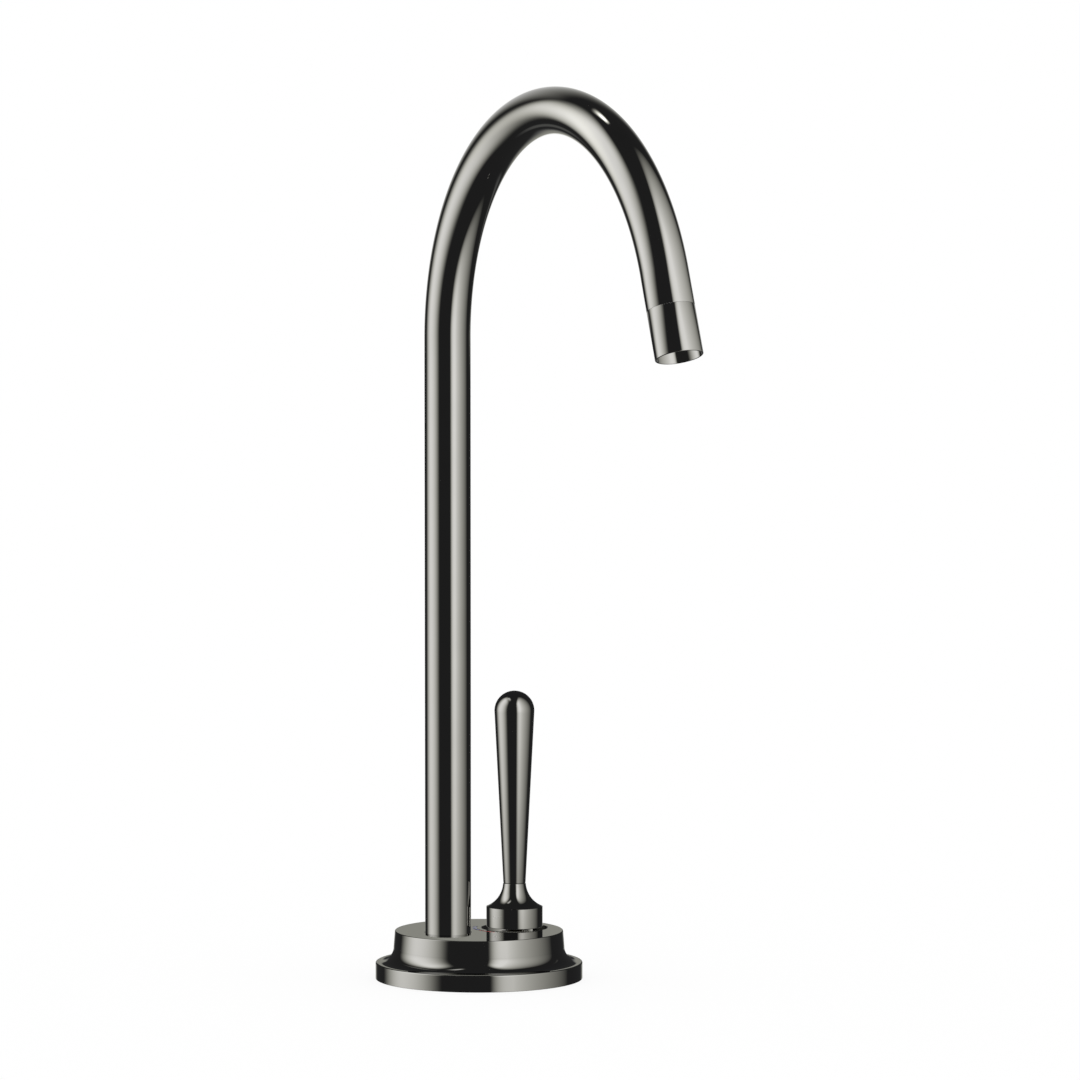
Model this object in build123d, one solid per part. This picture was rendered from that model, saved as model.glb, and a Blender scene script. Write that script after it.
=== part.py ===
"""Single-lever kitchen mixer tap with a swan-neck swivel spout and a pin lever.

Millimetres, +Z up. The origin is on the axis of the threaded shank, at the worktop's surface.
The lever stands on that axis, the flange's centre and the spout's riser lie towards -X, and
the spout reaches out along -Y. Each piece below is a separate solid in its own file.
"""
import math
import os

from build123d import *

os.makedirs("parts", exist_ok=True)

# Cuts run this far past what they cut, and fused shapes reach this far into each other
OVERCUT = 1.0
FUSE_OVERLAP = 0.5

# Base: a turned flange, a hollow curve and a low drum with a flat top
FLANGE_DIAMETER = 81.4
FLANGE_RIM_HEIGHT = 6.6
FLANGE_EDGE_RADIUS = 0.5
COVE_RADIUS = 5.8
DRUM_DIAMETER = 66.2
DRUM_TAPER = 0.5
DRUM_EDGE_RADIUS = 0.35
BASE_HEIGHT = 19.0
DRUM_WALL = 1.9
TOP_PLATE = 3.4
LEVER_OFFSET = 15.8
SPOUT_OFFSET = 13.7
LEVER_HOLE_DIAMETER = 26.2
SPOUT_HOLE_CLEARANCE = 0.25

# Flat seal in the flange's underside
DECK_SEAL_INNER_DIAMETER = 70.4
DECK_SEAL_WIDTH = 2.6
DECK_SEAL_HEIGHT = 1.6

# Enamelled hot and cold marks, two arcs round the lever's axis on the spout's side
MARK_RADIUS = 15.6
MARK_WIDTH = 1.1
MARK_DEPTH = 0.3
MARK_SWEEP = 32.0
MARK_GAP = 1.2

# Spout tube: a riser, a round arch and a short straight end with a screwed nozzle
TUBE_DIAMETER = 18.0
TUBE_WALL = 1.0
RISER_HEIGHT = 252.9
ARCH_RADIUS = 89.0
ARCH_SWEEP = 160.0
END_STRAIGHT = 32.6
JOINT_CHAMFER = 0.25
NOZZLE_LENGTH = 18.6
NOZZLE_SPIGOT = 9.0
NOZZLE_SEAT_DEPTH = 3.0
NOZZLE_MOUTH_DEPTH = 9.2
NOZZLE_MOUTH_WALL = 0.7
AERATOR_SEAL_HEIGHT = 1.0
AERATOR_WALL = 1.4
SCREEN_THICKNESS = 0.6
SCREEN_INSET = 0.5
SCREEN_HOLE_DIAMETER = 1.0
SCREEN_RING_STEP = 2.2
SCREEN_RING_HOLES = (1, 6, 12)

# Spout foot: a brass bush brazed in the tube, turning in the body's socket
SWIVEL_CLEARANCE = 0.05
FOOT_DIAMETER = 17.0
FOOT_BORE = 11.2
FOOT_DEPTH = 7.8
FOOT_SPIGOT = 10.0
FOOT_SEAL_INSET = 0.6
FOOT_SEAL_HEIGHT = 1.8
FOOT_SEAL_DEPTH = 1.6
SNAP_RING_INSET = 3.2
SNAP_RING_HEIGHT = 1.0
SNAP_RING_INNER_DIAMETER = 15.0
SNAP_RING_OUTER_DIAMETER = 18.3
SNAP_RING_OPENING = 50.0
SPOUT_BEARING_HEIGHT = 3.0
SPOUT_BEARING_DIAMETER = 22.0

# Cast valve body with its threaded shank
BODY_PLATE_HEIGHT = 4.0
BODY_FIT_GAP = 0.4
SPOUT_BOSS_DIAMETER = 25.2
CARTRIDGE_BOSS_DIAMETER = 29.2
BODY_WEB_WIDTH = 18.0
CHAMBER_DIAMETER = 25.2
GALLERY_DEPTH = 1.0
PASSAGE_WIDTH = 8.0
PASSAGE_HEIGHT = 5.2
PASSAGE_DROP = 0.2
SHANK_DIAMETER = 33.0
SHANK_WALL = 3.0
SHANK_LENGTH = 58.0
INLET_BLOCK_DEPTH = 22.0
INLET_DIAMETER = 8.9
INLET_DEPTH = 10.0
INLET_OFFSET_X = 4.0
INLET_OFFSET_Y = 6.6
SCREW_CIRCLE_RADIUS = 25.2
SCREW_ANGLES = (60.0, 120.0, 240.0, 300.0)
SCREW_PILLAR_DIAMETER = 9.0
SCREW_DIAMETER = 3.0
SCREW_HOLE_CLEARANCE = 0.1
SCREW_HEAD_DIAMETER = 5.5
SCREW_HEAD_HEIGHT = 2.0
SCREW_HEAD_SINK = 0.3
SCREW_GRIP = 2.4
HEX_SOCKET = 2.5
HEX_SOCKET_FLOOR = 0.8

# Lever: a turned hub and a tapered grip with a rounded end
HUB_GAP = 0.5
HUB_DIAMETER = 22.2
HUB_CYLINDER_HEIGHT = 7.9
HUB_HEIGHT = 17.25
HUB_MID_HEIGHT = 12.3
HUB_MID_RADIUS = 5.95
HUB_TOP_RADIUS = 4.5
HUB_EDGE_RADIUS = 0.3
GRIP_LENGTH = 76.1
GRIP_FOOT_RADIUS = 4.4
GRIP_END_RADIUS = 7.85
GROOVE_CHAMFER = 0.35
STUD_DIAMETER = 3.0
STUD_IN_SPINDLE = 6.0
STUD_IN_GRIP = 12.0

# Spindle: rocks on the pivot pin and drives the disc through its lower ball
PIVOT_DROP = 3.5
LEVER_TILT = 18.0
SPINDLE_DIAMETER = 6.0
SPINDLE_FLATS = 4.8
SPINDLE_TOP_DEPTH = 8.0
SPINDLE_BALL_DIAMETER = 6.4
SPINDLE_SHAFT_DIAMETER = 4.0
DRIVE_ARM = 10.0
DRIVE_BALL_DIAMETER = 3.8
DRIVE_NECK_DIAMETER = 2.4
DRIVE_CLEARANCE = 0.1
PIVOT_PIN_DIAMETER = 1.8
PIN_CLEARANCE = 0.05
PIN_INSET = 0.2
SPINDLE_SEAL_HEIGHT = 0.9

# Ceramic disc cartridge
RUNNING_CLEARANCE = 0.05
DISC_FILM = 0.02
HOUSING_INNER_DIAMETER = 22.0
HOUSING_WALL = 1.5
HOUSING_ROOF = 1.6
HOUSING_WINDOW_WIDTH = 8.0
HOUSING_SEAL_HEIGHT = 1.9
HOUSING_SEAL_DEPTH = 0.9
HOUSING_SEAL_RISE = 1.0
FIXED_DISC_HEIGHT = 3.6
MOVING_DISC_HEIGHT = 3.0
MOVING_DISC_DIAMETER = 17.2
CARRIER_HEIGHT = 3.4
CARRIER_COVER = 1.2
CARRIER_FLATS = 12.8
CARRIER_PEG_DIAMETER = 2.0
CARRIER_PEG_HEIGHT = 1.0
CARTRIDGE_FLANGE_HEIGHT = 3.0
CARTRIDGE_SPIGOT_HEIGHT = 2.0
PORT_DIAMETER = 4.4
PORT_Y = 4.8
PORT_SEAL_WIDTH = 1.4
PORT_SEAL_HEIGHT = 1.2
DISC_PORT_WIDTH = 3.0
DISC_PORT_SWEEP = 44.0
WINDOW_LENGTH = 4.4
WINDOW_WIDTH = 7.6
WINDOW_CENTRE = 2.9
DISC_KEY_WIDTH = 2.4
DISC_KEY_DEPTH = 1.2
ROTOR_GAP = 0.3
ROTOR_HEIGHT = 3.8
ROTOR_NECK_DIAMETER = 10.8
ROTOR_NECK_RISE = 1.5
ROTOR_BORE = 8.6
ROTOR_SEAL_HEIGHT = 1.7
ROTOR_SEAL_DEPTH = 1.15
ROTOR_SEAL_RISE = 0.9
ROTOR_CHEEK_HEIGHT = 3.3
SLOT_MARGIN = 0.3
TURN_RANGE = 40.0
STOP_RADIUS = 8.5
STOP_WIDTH = 2.0
STOP_SWEEP = 20.0
STOP_MARGIN = 1.5
STOP_ROOF_GAP = 0.3

# Domed ring nut that holds the cartridge down
NUT_DIAMETER = 26.0
NUT_BORE = 11.6
NUT_EDGE_RISE = 2.25
NUT_DOME_RISE = 1.95
NUT_SLOT_WIDTH = 3.0
NUT_SLOT_DEPTH = 1.2
NUT_SLOTS = 4

# Fixing set below the worktop
WORKTOP_THICKNESS = 30.0
CLAMP_DIAMETER = 53.0
CLAMP_BORE = 34.0
CLAMP_GASKET_HEIGHT = 3.0
CLAMP_WASHER_HEIGHT = 2.0
FIXING_NUT_DROP = 4.0
FIXING_NUT_HEIGHT = 7.0
FIXING_NUT_FLATS = 48.0
CLAMP_SCREW_DIAMETER = 5.0
CLAMP_SCREW_LENGTH = 18.0
CLAMP_SCREW_HEX = 8.0
CLAMP_SCREW_HEAD = 3.5

# Places worked out from the sizes above
FLANGE_X = -LEVER_OFFSET
SPOUT_X = FLANGE_X - SPOUT_OFFSET
BODY_TOP = BASE_HEIGHT - TOP_PLATE
CAVITY_RADIUS = DRUM_DIAMETER / 2 - DRUM_WALL
TUBE_RADIUS = TUBE_DIAMETER / 2
TUBE_BORE_RADIUS = TUBE_RADIUS - TUBE_WALL
TUBE_FOOT_Z = BODY_TOP + SWIVEL_CLEARANCE
FOOT_RADIUS = FOOT_DIAMETER / 2
FOOT_BOTTOM = BODY_TOP - FOOT_DEPTH
SOCKET_RADIUS = FOOT_RADIUS + SWIVEL_CLEARANCE
PASSAGE_TOP = FOOT_BOTTOM - PASSAGE_DROP
PASSAGE_FLOOR = PASSAGE_TOP - PASSAGE_HEIGHT
HUB_BOTTOM = BASE_HEIGHT + HUB_GAP
GRIP_BOTTOM = HUB_BOTTOM + HUB_HEIGHT
GRIP_TOP = GRIP_BOTTOM + GRIP_LENGTH
SPINDLE_TOP = HUB_BOTTOM + SPINDLE_TOP_DEPTH
PIVOT_Z = HUB_BOTTOM - PIVOT_DROP
BALL_Z = PIVOT_Z - DRIVE_ARM
DISC_TRAVEL = DRIVE_ARM * math.sin(math.radians(LEVER_TILT))
DISC_REST_X = DISC_TRAVEL / 2
CARRIER_TOP = BALL_Z + CARRIER_COVER
CARRIER_BOTTOM = CARRIER_TOP - CARRIER_HEIGHT
MOVING_DISC_BOTTOM = CARRIER_BOTTOM - MOVING_DISC_HEIGHT
FIXED_DISC_TOP = MOVING_DISC_BOTTOM - DISC_FILM
FIXED_DISC_BOTTOM = FIXED_DISC_TOP - FIXED_DISC_HEIGHT
HOUSING_BOTTOM = FIXED_DISC_BOTTOM - CARTRIDGE_SPIGOT_HEIGHT
CHAMBER_FLOOR = HOUSING_BOTTOM - CARTRIDGE_FLANGE_HEIGHT
HOUSING_RADIUS = HOUSING_INNER_DIAMETER / 2
INNER_PART_RADIUS = HOUSING_RADIUS - RUNNING_CLEARANCE
ROTOR_BOTTOM = CARRIER_TOP + ROTOR_GAP
ROTOR_TOP = ROTOR_BOTTOM + ROTOR_HEIGHT
HOUSING_ROOF_Z = ROTOR_TOP + RUNNING_CLEARANCE
HOUSING_TOP = HOUSING_ROOF_Z + HOUSING_ROOF
HOUSING_OUTER_RADIUS = HOUSING_RADIUS + HOUSING_WALL
CHAMBER_RADIUS = CHAMBER_DIAMETER / 2
NUT_RADIUS = NUT_DIAMETER / 2
SHANK_RADIUS = SHANK_DIAMETER / 2
CLAMP_SCREW_RADIUS = (SHANK_RADIUS + CLAMP_DIAMETER / 2) / 2
INLET_MOUTH_Z = -INLET_BLOCK_DEPTH
CLAMP_GASKET_BOTTOM = -WORKTOP_THICKNESS - CLAMP_GASKET_HEIGHT
CLAMP_WASHER_BOTTOM = CLAMP_GASKET_BOTTOM - CLAMP_WASHER_HEIGHT
FIXING_NUT_TOP = CLAMP_WASHER_BOTTOM - FIXING_NUT_DROP


def rod(radius, bottom, top, x=0.0, y=0.0):
    """An upright cylinder between two heights."""
    upright = Cylinder(radius, top - bottom, align=(Align.CENTER, Align.CENTER, Align.MIN))
    return Pos(x, y, bottom) * upright


def ring(outer, inner, bottom, top, x=0.0, y=0.0):
    """An upright ring of rectangular section."""
    return rod(outer, bottom, top, x, y) - rod(inner, bottom - OVERCUT, top + OVERCUT, x, y)


def block(x_range, y_range, z_range):
    """A box between given limits on each axis."""
    size = [high - low for low, high in (x_range, y_range, z_range)]
    middle = [(high + low) / 2 for low, high in (x_range, y_range, z_range)]
    return Pos(*middle) * Box(*size)


def turned(*outline):
    """A solid turned about Z from straight runs of (radius, height) points."""
    points = [(radius, 0, height) for radius, height in outline]
    return revolve(make_face(Polyline(*points, close=True)), axis=Axis.Z)


def turned_curves(*curves):
    """A solid turned about Z from a closed chain of lines and arcs in the XZ plane."""
    return revolve(make_face(Curve() + list(curves)), axis=Axis.Z)


def line(start, end):
    """A straight run of a turned outline, from one (radius, height) to another."""
    return Line((start[0], 0, start[1]), (end[0], 0, end[1]))


def arc(start, middle, end):
    """A round run of a turned outline through three (radius, height) points."""
    return ThreePointArc(*[(radius, 0, height) for radius, height in (start, middle, end)])


def circles(solid, radius, height):
    """The round edges of a solid with a given radius at a given height."""
    found = solid.edges().filter_by(GeomType.CIRCLE)
    found = [edge for edge in found if abs(edge.radius - radius) < 0.01]
    return [edge for edge in found if abs(edge.center().Z - height) < 0.01]


def seal_ring(outer, inner, bottom, top):
    """A squeezed rubber ring: flat where it is seated inside, rounded outside."""
    body = ring(outer, inner, bottom, top)
    rounding = 0.45 * min(top - bottom, outer - inner)
    return fillet(circles(body, outer, bottom) + circles(body, outer, top), rounding)


def arc_band(radius, width, middle_angle, sweep, bottom, top):
    """A square-ended band that follows a circle about Z."""
    band = ring(radius + width / 2, radius - width / 2, bottom, top)
    return band & wedge(radius + width, middle_angle, sweep, bottom, top)


def arc_slot(radius, width, middle_angle, sweep, bottom, top):
    """A round-ended slot that follows a circle about Z."""
    track = CenterArc((0, 0, 0), radius, middle_angle - sweep / 2, sweep)
    slot = arc_band(radius, width, middle_angle, sweep, bottom, top)
    for end in (track @ 0, track @ 1):
        slot += rod(width / 2, bottom, top, end.X, end.Y)
    return slot


def wedge(radius, middle_angle, sweep, bottom, top):
    """A pie-shaped prism about Z that is wider than the given radius."""
    reach = 2 * radius
    angles = [middle_angle - sweep / 2, middle_angle, middle_angle + sweep / 2]
    corners = [(reach * math.cos(math.radians(a)), reach * math.sin(math.radians(a))) for a in angles]
    return Pos(0, 0, bottom) * extrude(make_face(Polyline((0, 0), *corners, close=True)), top - bottom)


def screw_places():
    """The plan positions of the screws that hold the shell on the body."""
    places = []
    for angle in SCREW_ANGLES:
        turn = math.radians(angle)
        x = FLANGE_X + SCREW_CIRCLE_RADIUS * math.cos(turn)
        places.append((x, SCREW_CIRCLE_RADIUS * math.sin(turn)))
    return places


def inlet_places():
    """The hot inlet at the back and the cold inlet at the front, in plan."""
    return [(-INLET_OFFSET_X, INLET_OFFSET_Y), (-INLET_OFFSET_X, -INLET_OFFSET_Y)]


def port_places():
    """The cartridge's hot and cold ports, in plan."""
    return [(-INLET_OFFSET_X, PORT_Y), (-INLET_OFFSET_X, -PORT_Y)]


def hex_rod(across_flats, bottom, top, x=0.0, y=0.0):
    """An upright hexagonal bar."""
    hexagon = RegularPolygon(across_flats / 2, 6, major_radius=False)
    return Pos(x, y, bottom) * extrude(hexagon, top - bottom)


# Base shell and what is let into it

def mark_arc(side):
    """One enamelled arc, on the +Y side of the middle for side 1 and the -Y side for side -1."""
    middle = 180 - side * (MARK_SWEEP + MARK_GAP) / 2
    bottom = BASE_HEIGHT - MARK_DEPTH
    return arc_band(MARK_RADIUS, MARK_WIDTH, middle, MARK_SWEEP - MARK_GAP, bottom, BASE_HEIGHT)


def base_shell():
    """Flange, cove and drum, turned as one hollow shell and bored for the spout and the lever."""
    flange = FLANGE_DIAMETER / 2
    drum = DRUM_DIAMETER / 2
    cove_foot = drum + DRUM_TAPER
    cove_top = FLANGE_RIM_HEIGHT + COVE_RADIUS
    bend = COVE_RADIUS * math.cos(math.radians(45))
    cove_middle = (cove_foot + COVE_RADIUS - bend, cove_top - bend)
    cove_start = (cove_foot + COVE_RADIUS, FLANGE_RIM_HEIGHT)
    cove_end = (cove_foot, cove_top)
    shell = turned_curves(
        line((0, 0), (flange, 0)),
        line((flange, 0), (flange, FLANGE_RIM_HEIGHT)),
        line((flange, FLANGE_RIM_HEIGHT), cove_start),
        arc(cove_start, cove_middle, cove_end),
        line(cove_end, (drum, BASE_HEIGHT)),
        line((drum, BASE_HEIGHT), (0, BASE_HEIGHT)),
        line((0, BASE_HEIGHT), (0, 0)),
    )
    shell = fillet(circles(shell, flange, FLANGE_RIM_HEIGHT), FLANGE_EDGE_RADIUS)
    shell = fillet(circles(shell, drum, BASE_HEIGHT), DRUM_EDGE_RADIUS)
    shell -= rod(CAVITY_RADIUS, -OVERCUT, BODY_TOP)
    seal_inner = DECK_SEAL_INNER_DIAMETER / 2
    shell -= ring(seal_inner + DECK_SEAL_WIDTH, seal_inner, -OVERCUT, DECK_SEAL_HEIGHT)
    shell = Pos(FLANGE_X, 0, 0) * shell
    shell -= rod(LEVER_HOLE_DIAMETER / 2, 0, BASE_HEIGHT + OVERCUT)
    shell -= rod(TUBE_RADIUS + SPOUT_HOLE_CLEARANCE, 0, BASE_HEIGHT + OVERCUT, SPOUT_X)
    for x, y in screw_places():
        shell -= rod(SCREW_DIAMETER / 2, 0, BODY_TOP + SCREW_GRIP, x, y)
    return shell - mark_arc(1) - mark_arc(-1)


def deck_seal():
    """Flat rubber seal in the groove of the flange's underside."""
    inner = DECK_SEAL_INNER_DIAMETER / 2
    return ring(inner + DECK_SEAL_WIDTH, inner, 0, DECK_SEAL_HEIGHT, FLANGE_X)


def shell_screws():
    """Four socket screws that draw the shell down on the body's pillars."""
    head_top = SCREW_HEAD_SINK + SCREW_HEAD_HEIGHT
    socket_top = head_top - HEX_SOCKET_FLOOR
    screws = []
    for x, y in screw_places():
        screw = rod(SCREW_HEAD_DIAMETER / 2, SCREW_HEAD_SINK, head_top, x, y)
        screw += rod(SCREW_DIAMETER / 2, head_top, BODY_TOP + SCREW_GRIP, x, y)
        screws.append(screw - hex_rod(HEX_SOCKET, SCREW_HEAD_SINK - OVERCUT, socket_top, x, y))
    return Compound(children=screws)


# Valve body

def valve_body():
    """Brass casting: base plate, cartridge chamber, spout socket, water passage and shank."""
    plate = rod(CAVITY_RADIUS - BODY_FIT_GAP, 0, BODY_PLATE_HEIGHT, FLANGE_X)
    body = plate + rod(CARTRIDGE_BOSS_DIAMETER / 2, 0, BODY_TOP)
    body += rod(SPOUT_BOSS_DIAMETER / 2, 0, BODY_TOP, SPOUT_X)
    half_web = BODY_WEB_WIDTH / 2
    body += block((SPOUT_X, 0), (-half_web, half_web), (0, BODY_TOP))
    for x, y in screw_places():
        body += rod(SCREW_PILLAR_DIAMETER / 2, 0, BODY_TOP, x, y)
    body += rod(SHANK_RADIUS, -SHANK_LENGTH, 0)
    body -= rod(SHANK_RADIUS - SHANK_WALL, -SHANK_LENGTH - OVERCUT, INLET_MOUTH_Z)
    body -= rod(CHAMBER_RADIUS, CHAMBER_FLOOR, BODY_TOP + OVERCUT)
    body -= rod(CHAMBER_RADIUS + GALLERY_DEPTH, PASSAGE_FLOOR, PASSAGE_TOP)
    body -= rod(NUT_RADIUS, HOUSING_TOP, BODY_TOP + OVERCUT)
    half_passage = PASSAGE_WIDTH / 2
    body -= block((SPOUT_X, -CHAMBER_RADIUS), (-half_passage, half_passage), (PASSAGE_FLOOR, PASSAGE_TOP))
    body -= spout_socket()
    for x, y in inlet_places():
        body -= rod(INLET_DIAMETER / 2, INLET_MOUTH_Z - OVERCUT, INLET_MOUTH_Z + INLET_DEPTH, x, y)
    for x, y in port_places():
        body -= rod(PORT_DIAMETER / 2, INLET_MOUTH_Z + INLET_DEPTH - OVERCUT, CHAMBER_FLOOR + OVERCUT, x, y)
    for x, y in screw_places():
        head_sink = SCREW_HEAD_SINK + SCREW_HEAD_HEIGHT
        body -= rod(SCREW_DIAMETER / 2 + SCREW_HOLE_CLEARANCE, 0, BODY_TOP + OVERCUT, x, y)
        body -= rod(SCREW_HEAD_DIAMETER / 2 + SCREW_HOLE_CLEARANCE, -OVERCUT, head_sink, x, y)
    return body


def spout_socket():
    """The space that the spout's foot, snap ring and bearing ring take up in the body."""
    socket = rod(SOCKET_RADIUS, PASSAGE_FLOOR, BODY_TOP + OVERCUT, SPOUT_X)
    socket += rod(SPOUT_BEARING_DIAMETER / 2, BODY_TOP - SPOUT_BEARING_HEIGHT, BODY_TOP + OVERCUT, SPOUT_X)
    groove_bottom = FOOT_BOTTOM + SNAP_RING_INSET - 2 * SWIVEL_CLEARANCE
    groove_top = FOOT_BOTTOM + SNAP_RING_INSET + SNAP_RING_HEIGHT + 2 * SWIVEL_CLEARANCE
    groove_radius = SNAP_RING_OUTER_DIAMETER / 2 + SWIVEL_CLEARANCE
    return socket + rod(groove_radius, groove_bottom, groove_top, SPOUT_X)


# Spout

def spout_bearing():
    """Plastic ring in the mouth of the socket that carries and guides the spout."""
    bottom = BODY_TOP - SPOUT_BEARING_HEIGHT
    return ring(SPOUT_BEARING_DIAMETER / 2, SOCKET_RADIUS, bottom, BODY_TOP, SPOUT_X)


def arch_point(angle):
    """The centre line's place on the arch, angle degrees round from the riser's top."""
    turn = math.radians(angle)
    return Vector(SPOUT_X, -ARCH_RADIUS * (1 - math.cos(turn)), RISER_HEIGHT + ARCH_RADIUS * math.sin(turn))


def end_direction():
    """The way the water leaves, along the straight end of the spout."""
    turn = math.radians(ARCH_SWEEP)
    return Vector(0, -math.sin(turn), math.cos(turn))


def nozzle_plane():
    """The plane of the joint between tube and nozzle, its normal along the water."""
    joint = arch_point(ARCH_SWEEP) + end_direction() * (END_STRAIGHT - NOZZLE_LENGTH)
    return Plane(origin=joint, x_dir=(1, 0, 0), z_dir=end_direction())


def at_nozzle(solid):
    """A piece drawn upright from the joint plane, set along the spout's end."""
    return nozzle_plane().location * solid


def spout_tube():
    """One bent tube: riser, arch and the straight end up to the nozzle's joint."""
    foot = Vector(SPOUT_X, 0, TUBE_FOOT_Z)
    spring = arch_point(0)
    arch_end = arch_point(ARCH_SWEEP)
    riser = Line(foot, spring)
    arch = ThreePointArc(spring, arch_point(ARCH_SWEEP / 2), arch_end)
    end = Line(arch_end, nozzle_plane().origin)
    section = Plane(origin=foot) * (Circle(TUBE_RADIUS) - Circle(TUBE_BORE_RADIUS))
    tube = sweep(section, path=Curve() + [riser, arch, end])
    bevel = turned(
        (TUBE_RADIUS, -JOINT_CHAMFER),
        (TUBE_RADIUS + JOINT_CHAMFER, -JOINT_CHAMFER),
        (TUBE_RADIUS + JOINT_CHAMFER, JOINT_CHAMFER),
        (TUBE_RADIUS - JOINT_CHAMFER, JOINT_CHAMFER),
        (TUBE_RADIUS - JOINT_CHAMFER, 0),
    )
    return tube - at_nozzle(bevel)


def spout_foot():
    """Brass bush: grooved for its seal and snap ring below, a spigot in the tube above."""
    foot_top = TUBE_FOOT_Z + FOOT_SPIGOT
    foot = rod(FOOT_RADIUS, FOOT_BOTTOM, TUBE_FOOT_Z) + rod(TUBE_BORE_RADIUS, TUBE_FOOT_Z, foot_top)
    foot -= rod(FOOT_BORE / 2, FOOT_BOTTOM - OVERCUT, foot_top + OVERCUT)
    seal_bottom = FOOT_BOTTOM + FOOT_SEAL_INSET
    seal_floor = FOOT_RADIUS - FOOT_SEAL_DEPTH
    foot -= ring(FOOT_RADIUS + OVERCUT, seal_floor, seal_bottom, seal_bottom + FOOT_SEAL_HEIGHT)
    snap_bottom = FOOT_BOTTOM + SNAP_RING_INSET
    snap_floor = SNAP_RING_INNER_DIAMETER / 2
    foot -= ring(FOOT_RADIUS + OVERCUT, snap_floor, snap_bottom, snap_bottom + SNAP_RING_HEIGHT)
    return Pos(SPOUT_X, 0, 0) * foot


def spout_foot_seal():
    """Rubber ring that seals the spout's foot in the socket."""
    bottom = FOOT_BOTTOM + FOOT_SEAL_INSET
    outer = SOCKET_RADIUS - SWIVEL_CLEARANCE / 2
    seal = seal_ring(outer, FOOT_RADIUS - FOOT_SEAL_DEPTH, bottom, bottom + FOOT_SEAL_HEIGHT)
    return Pos(SPOUT_X, 0, 0) * seal


def spout_snap_ring():
    """Open spring ring that keeps the spout from being pulled out."""
    bottom = FOOT_BOTTOM + SNAP_RING_INSET
    top = bottom + SNAP_RING_HEIGHT
    full = ring(SNAP_RING_OUTER_DIAMETER / 2, SNAP_RING_INNER_DIAMETER / 2, bottom, top)
    opening = wedge(SNAP_RING_OUTER_DIAMETER / 2, 90, SNAP_RING_OPENING, bottom - OVERCUT, top + OVERCUT)
    return Pos(SPOUT_X, 0, 0) * (full - opening)


def outlet_nozzle():
    """Thin-walled end sleeve that screws into the tube and holds the aerator."""
    throat = TUBE_BORE_RADIUS - AERATOR_WALL
    mouth = TUBE_RADIUS - NOZZLE_MOUTH_WALL
    nozzle = turned(
        (throat, -NOZZLE_SPIGOT),
        (TUBE_BORE_RADIUS, -NOZZLE_SPIGOT),
        (TUBE_BORE_RADIUS, 0),
        (TUBE_RADIUS - JOINT_CHAMFER, 0),
        (TUBE_RADIUS, JOINT_CHAMFER),
        (TUBE_RADIUS, NOZZLE_LENGTH),
        (mouth, NOZZLE_LENGTH),
        (mouth, aerator_bottom()),
        (TUBE_BORE_RADIUS, aerator_bottom()),
        (TUBE_BORE_RADIUS, NOZZLE_SEAT_DEPTH),
        (throat, NOZZLE_SEAT_DEPTH),
    )
    nozzle = fillet(circles(nozzle, TUBE_RADIUS, NOZZLE_LENGTH), NOZZLE_MOUTH_WALL / 3)
    return at_nozzle(nozzle)


def aerator_top():
    """How far from the joint the aerator's seal ends and its housing starts."""
    return NOZZLE_SEAT_DEPTH + AERATOR_SEAL_HEIGHT


def aerator_bottom():
    """How far from the joint the aerator ends, inside the nozzle's mouth."""
    return NOZZLE_LENGTH - NOZZLE_MOUTH_DEPTH


def aerator_seal():
    """Flat rubber ring between the nozzle's seat and the aerator."""
    throat = TUBE_BORE_RADIUS - AERATOR_WALL
    return at_nozzle(ring(TUBE_BORE_RADIUS, throat, NOZZLE_SEAT_DEPTH, aerator_top()))


def screen_levels():
    """The heights of the two screens, from the joint along the water."""
    first = aerator_top() + SCREEN_INSET
    last = aerator_bottom() - SCREEN_INSET - SCREEN_THICKNESS
    return [first, last]


def aerator_housing():
    """Plastic ring that carries the two screens."""
    inner = TUBE_BORE_RADIUS - AERATOR_WALL
    return at_nozzle(ring(TUBE_BORE_RADIUS, inner, aerator_top(), aerator_bottom()))


def aerator_screens():
    """Two perforated discs, with their holes in rings."""
    screens = []
    for level in screen_levels():
        screen = rod(TUBE_BORE_RADIUS - AERATOR_WALL, level, level + SCREEN_THICKNESS)
        for step, holes in enumerate(SCREEN_RING_HOLES):
            for place in PolarLocations(step * SCREEN_RING_STEP, holes):
                hole = Cylinder(SCREEN_HOLE_DIAMETER / 2, 4 * SCREEN_THICKNESS)
                screen -= Pos(0, 0, level) * place * hole
        screens.append(at_nozzle(screen))
    return Compound(children=screens)


# Cartridge

def cartridge_base():
    """Plastic foot of the cartridge, with the two ports and the keys for the fixed disc."""
    base = rod(CHAMBER_RADIUS - RUNNING_CLEARANCE, CHAMBER_FLOOR, HOUSING_BOTTOM)
    base += rod(INNER_PART_RADIUS, HOUSING_BOTTOM, FIXED_DISC_BOTTOM)
    key_foot = FIXED_DISC_BOTTOM - FUSE_OVERLAP
    keys = disc_keys(RUNNING_CLEARANCE, key_foot, FIXED_DISC_BOTTOM + FIXED_DISC_HEIGHT / 2)
    base += keys & rod(INNER_PART_RADIUS, key_foot, FIXED_DISC_TOP)
    seal_radius = PORT_DIAMETER / 2 + PORT_SEAL_WIDTH
    for x, y in port_places():
        base -= rod(PORT_DIAMETER / 2, CHAMBER_FLOOR - OVERCUT, FIXED_DISC_TOP, x, y)
        base -= rod(seal_radius, CHAMBER_FLOOR - OVERCUT, CHAMBER_FLOOR + PORT_SEAL_HEIGHT, x, y)
        base -= rod(seal_radius, FIXED_DISC_BOTTOM - PORT_SEAL_HEIGHT, FIXED_DISC_BOTTOM, x, y)
    return base


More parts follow.
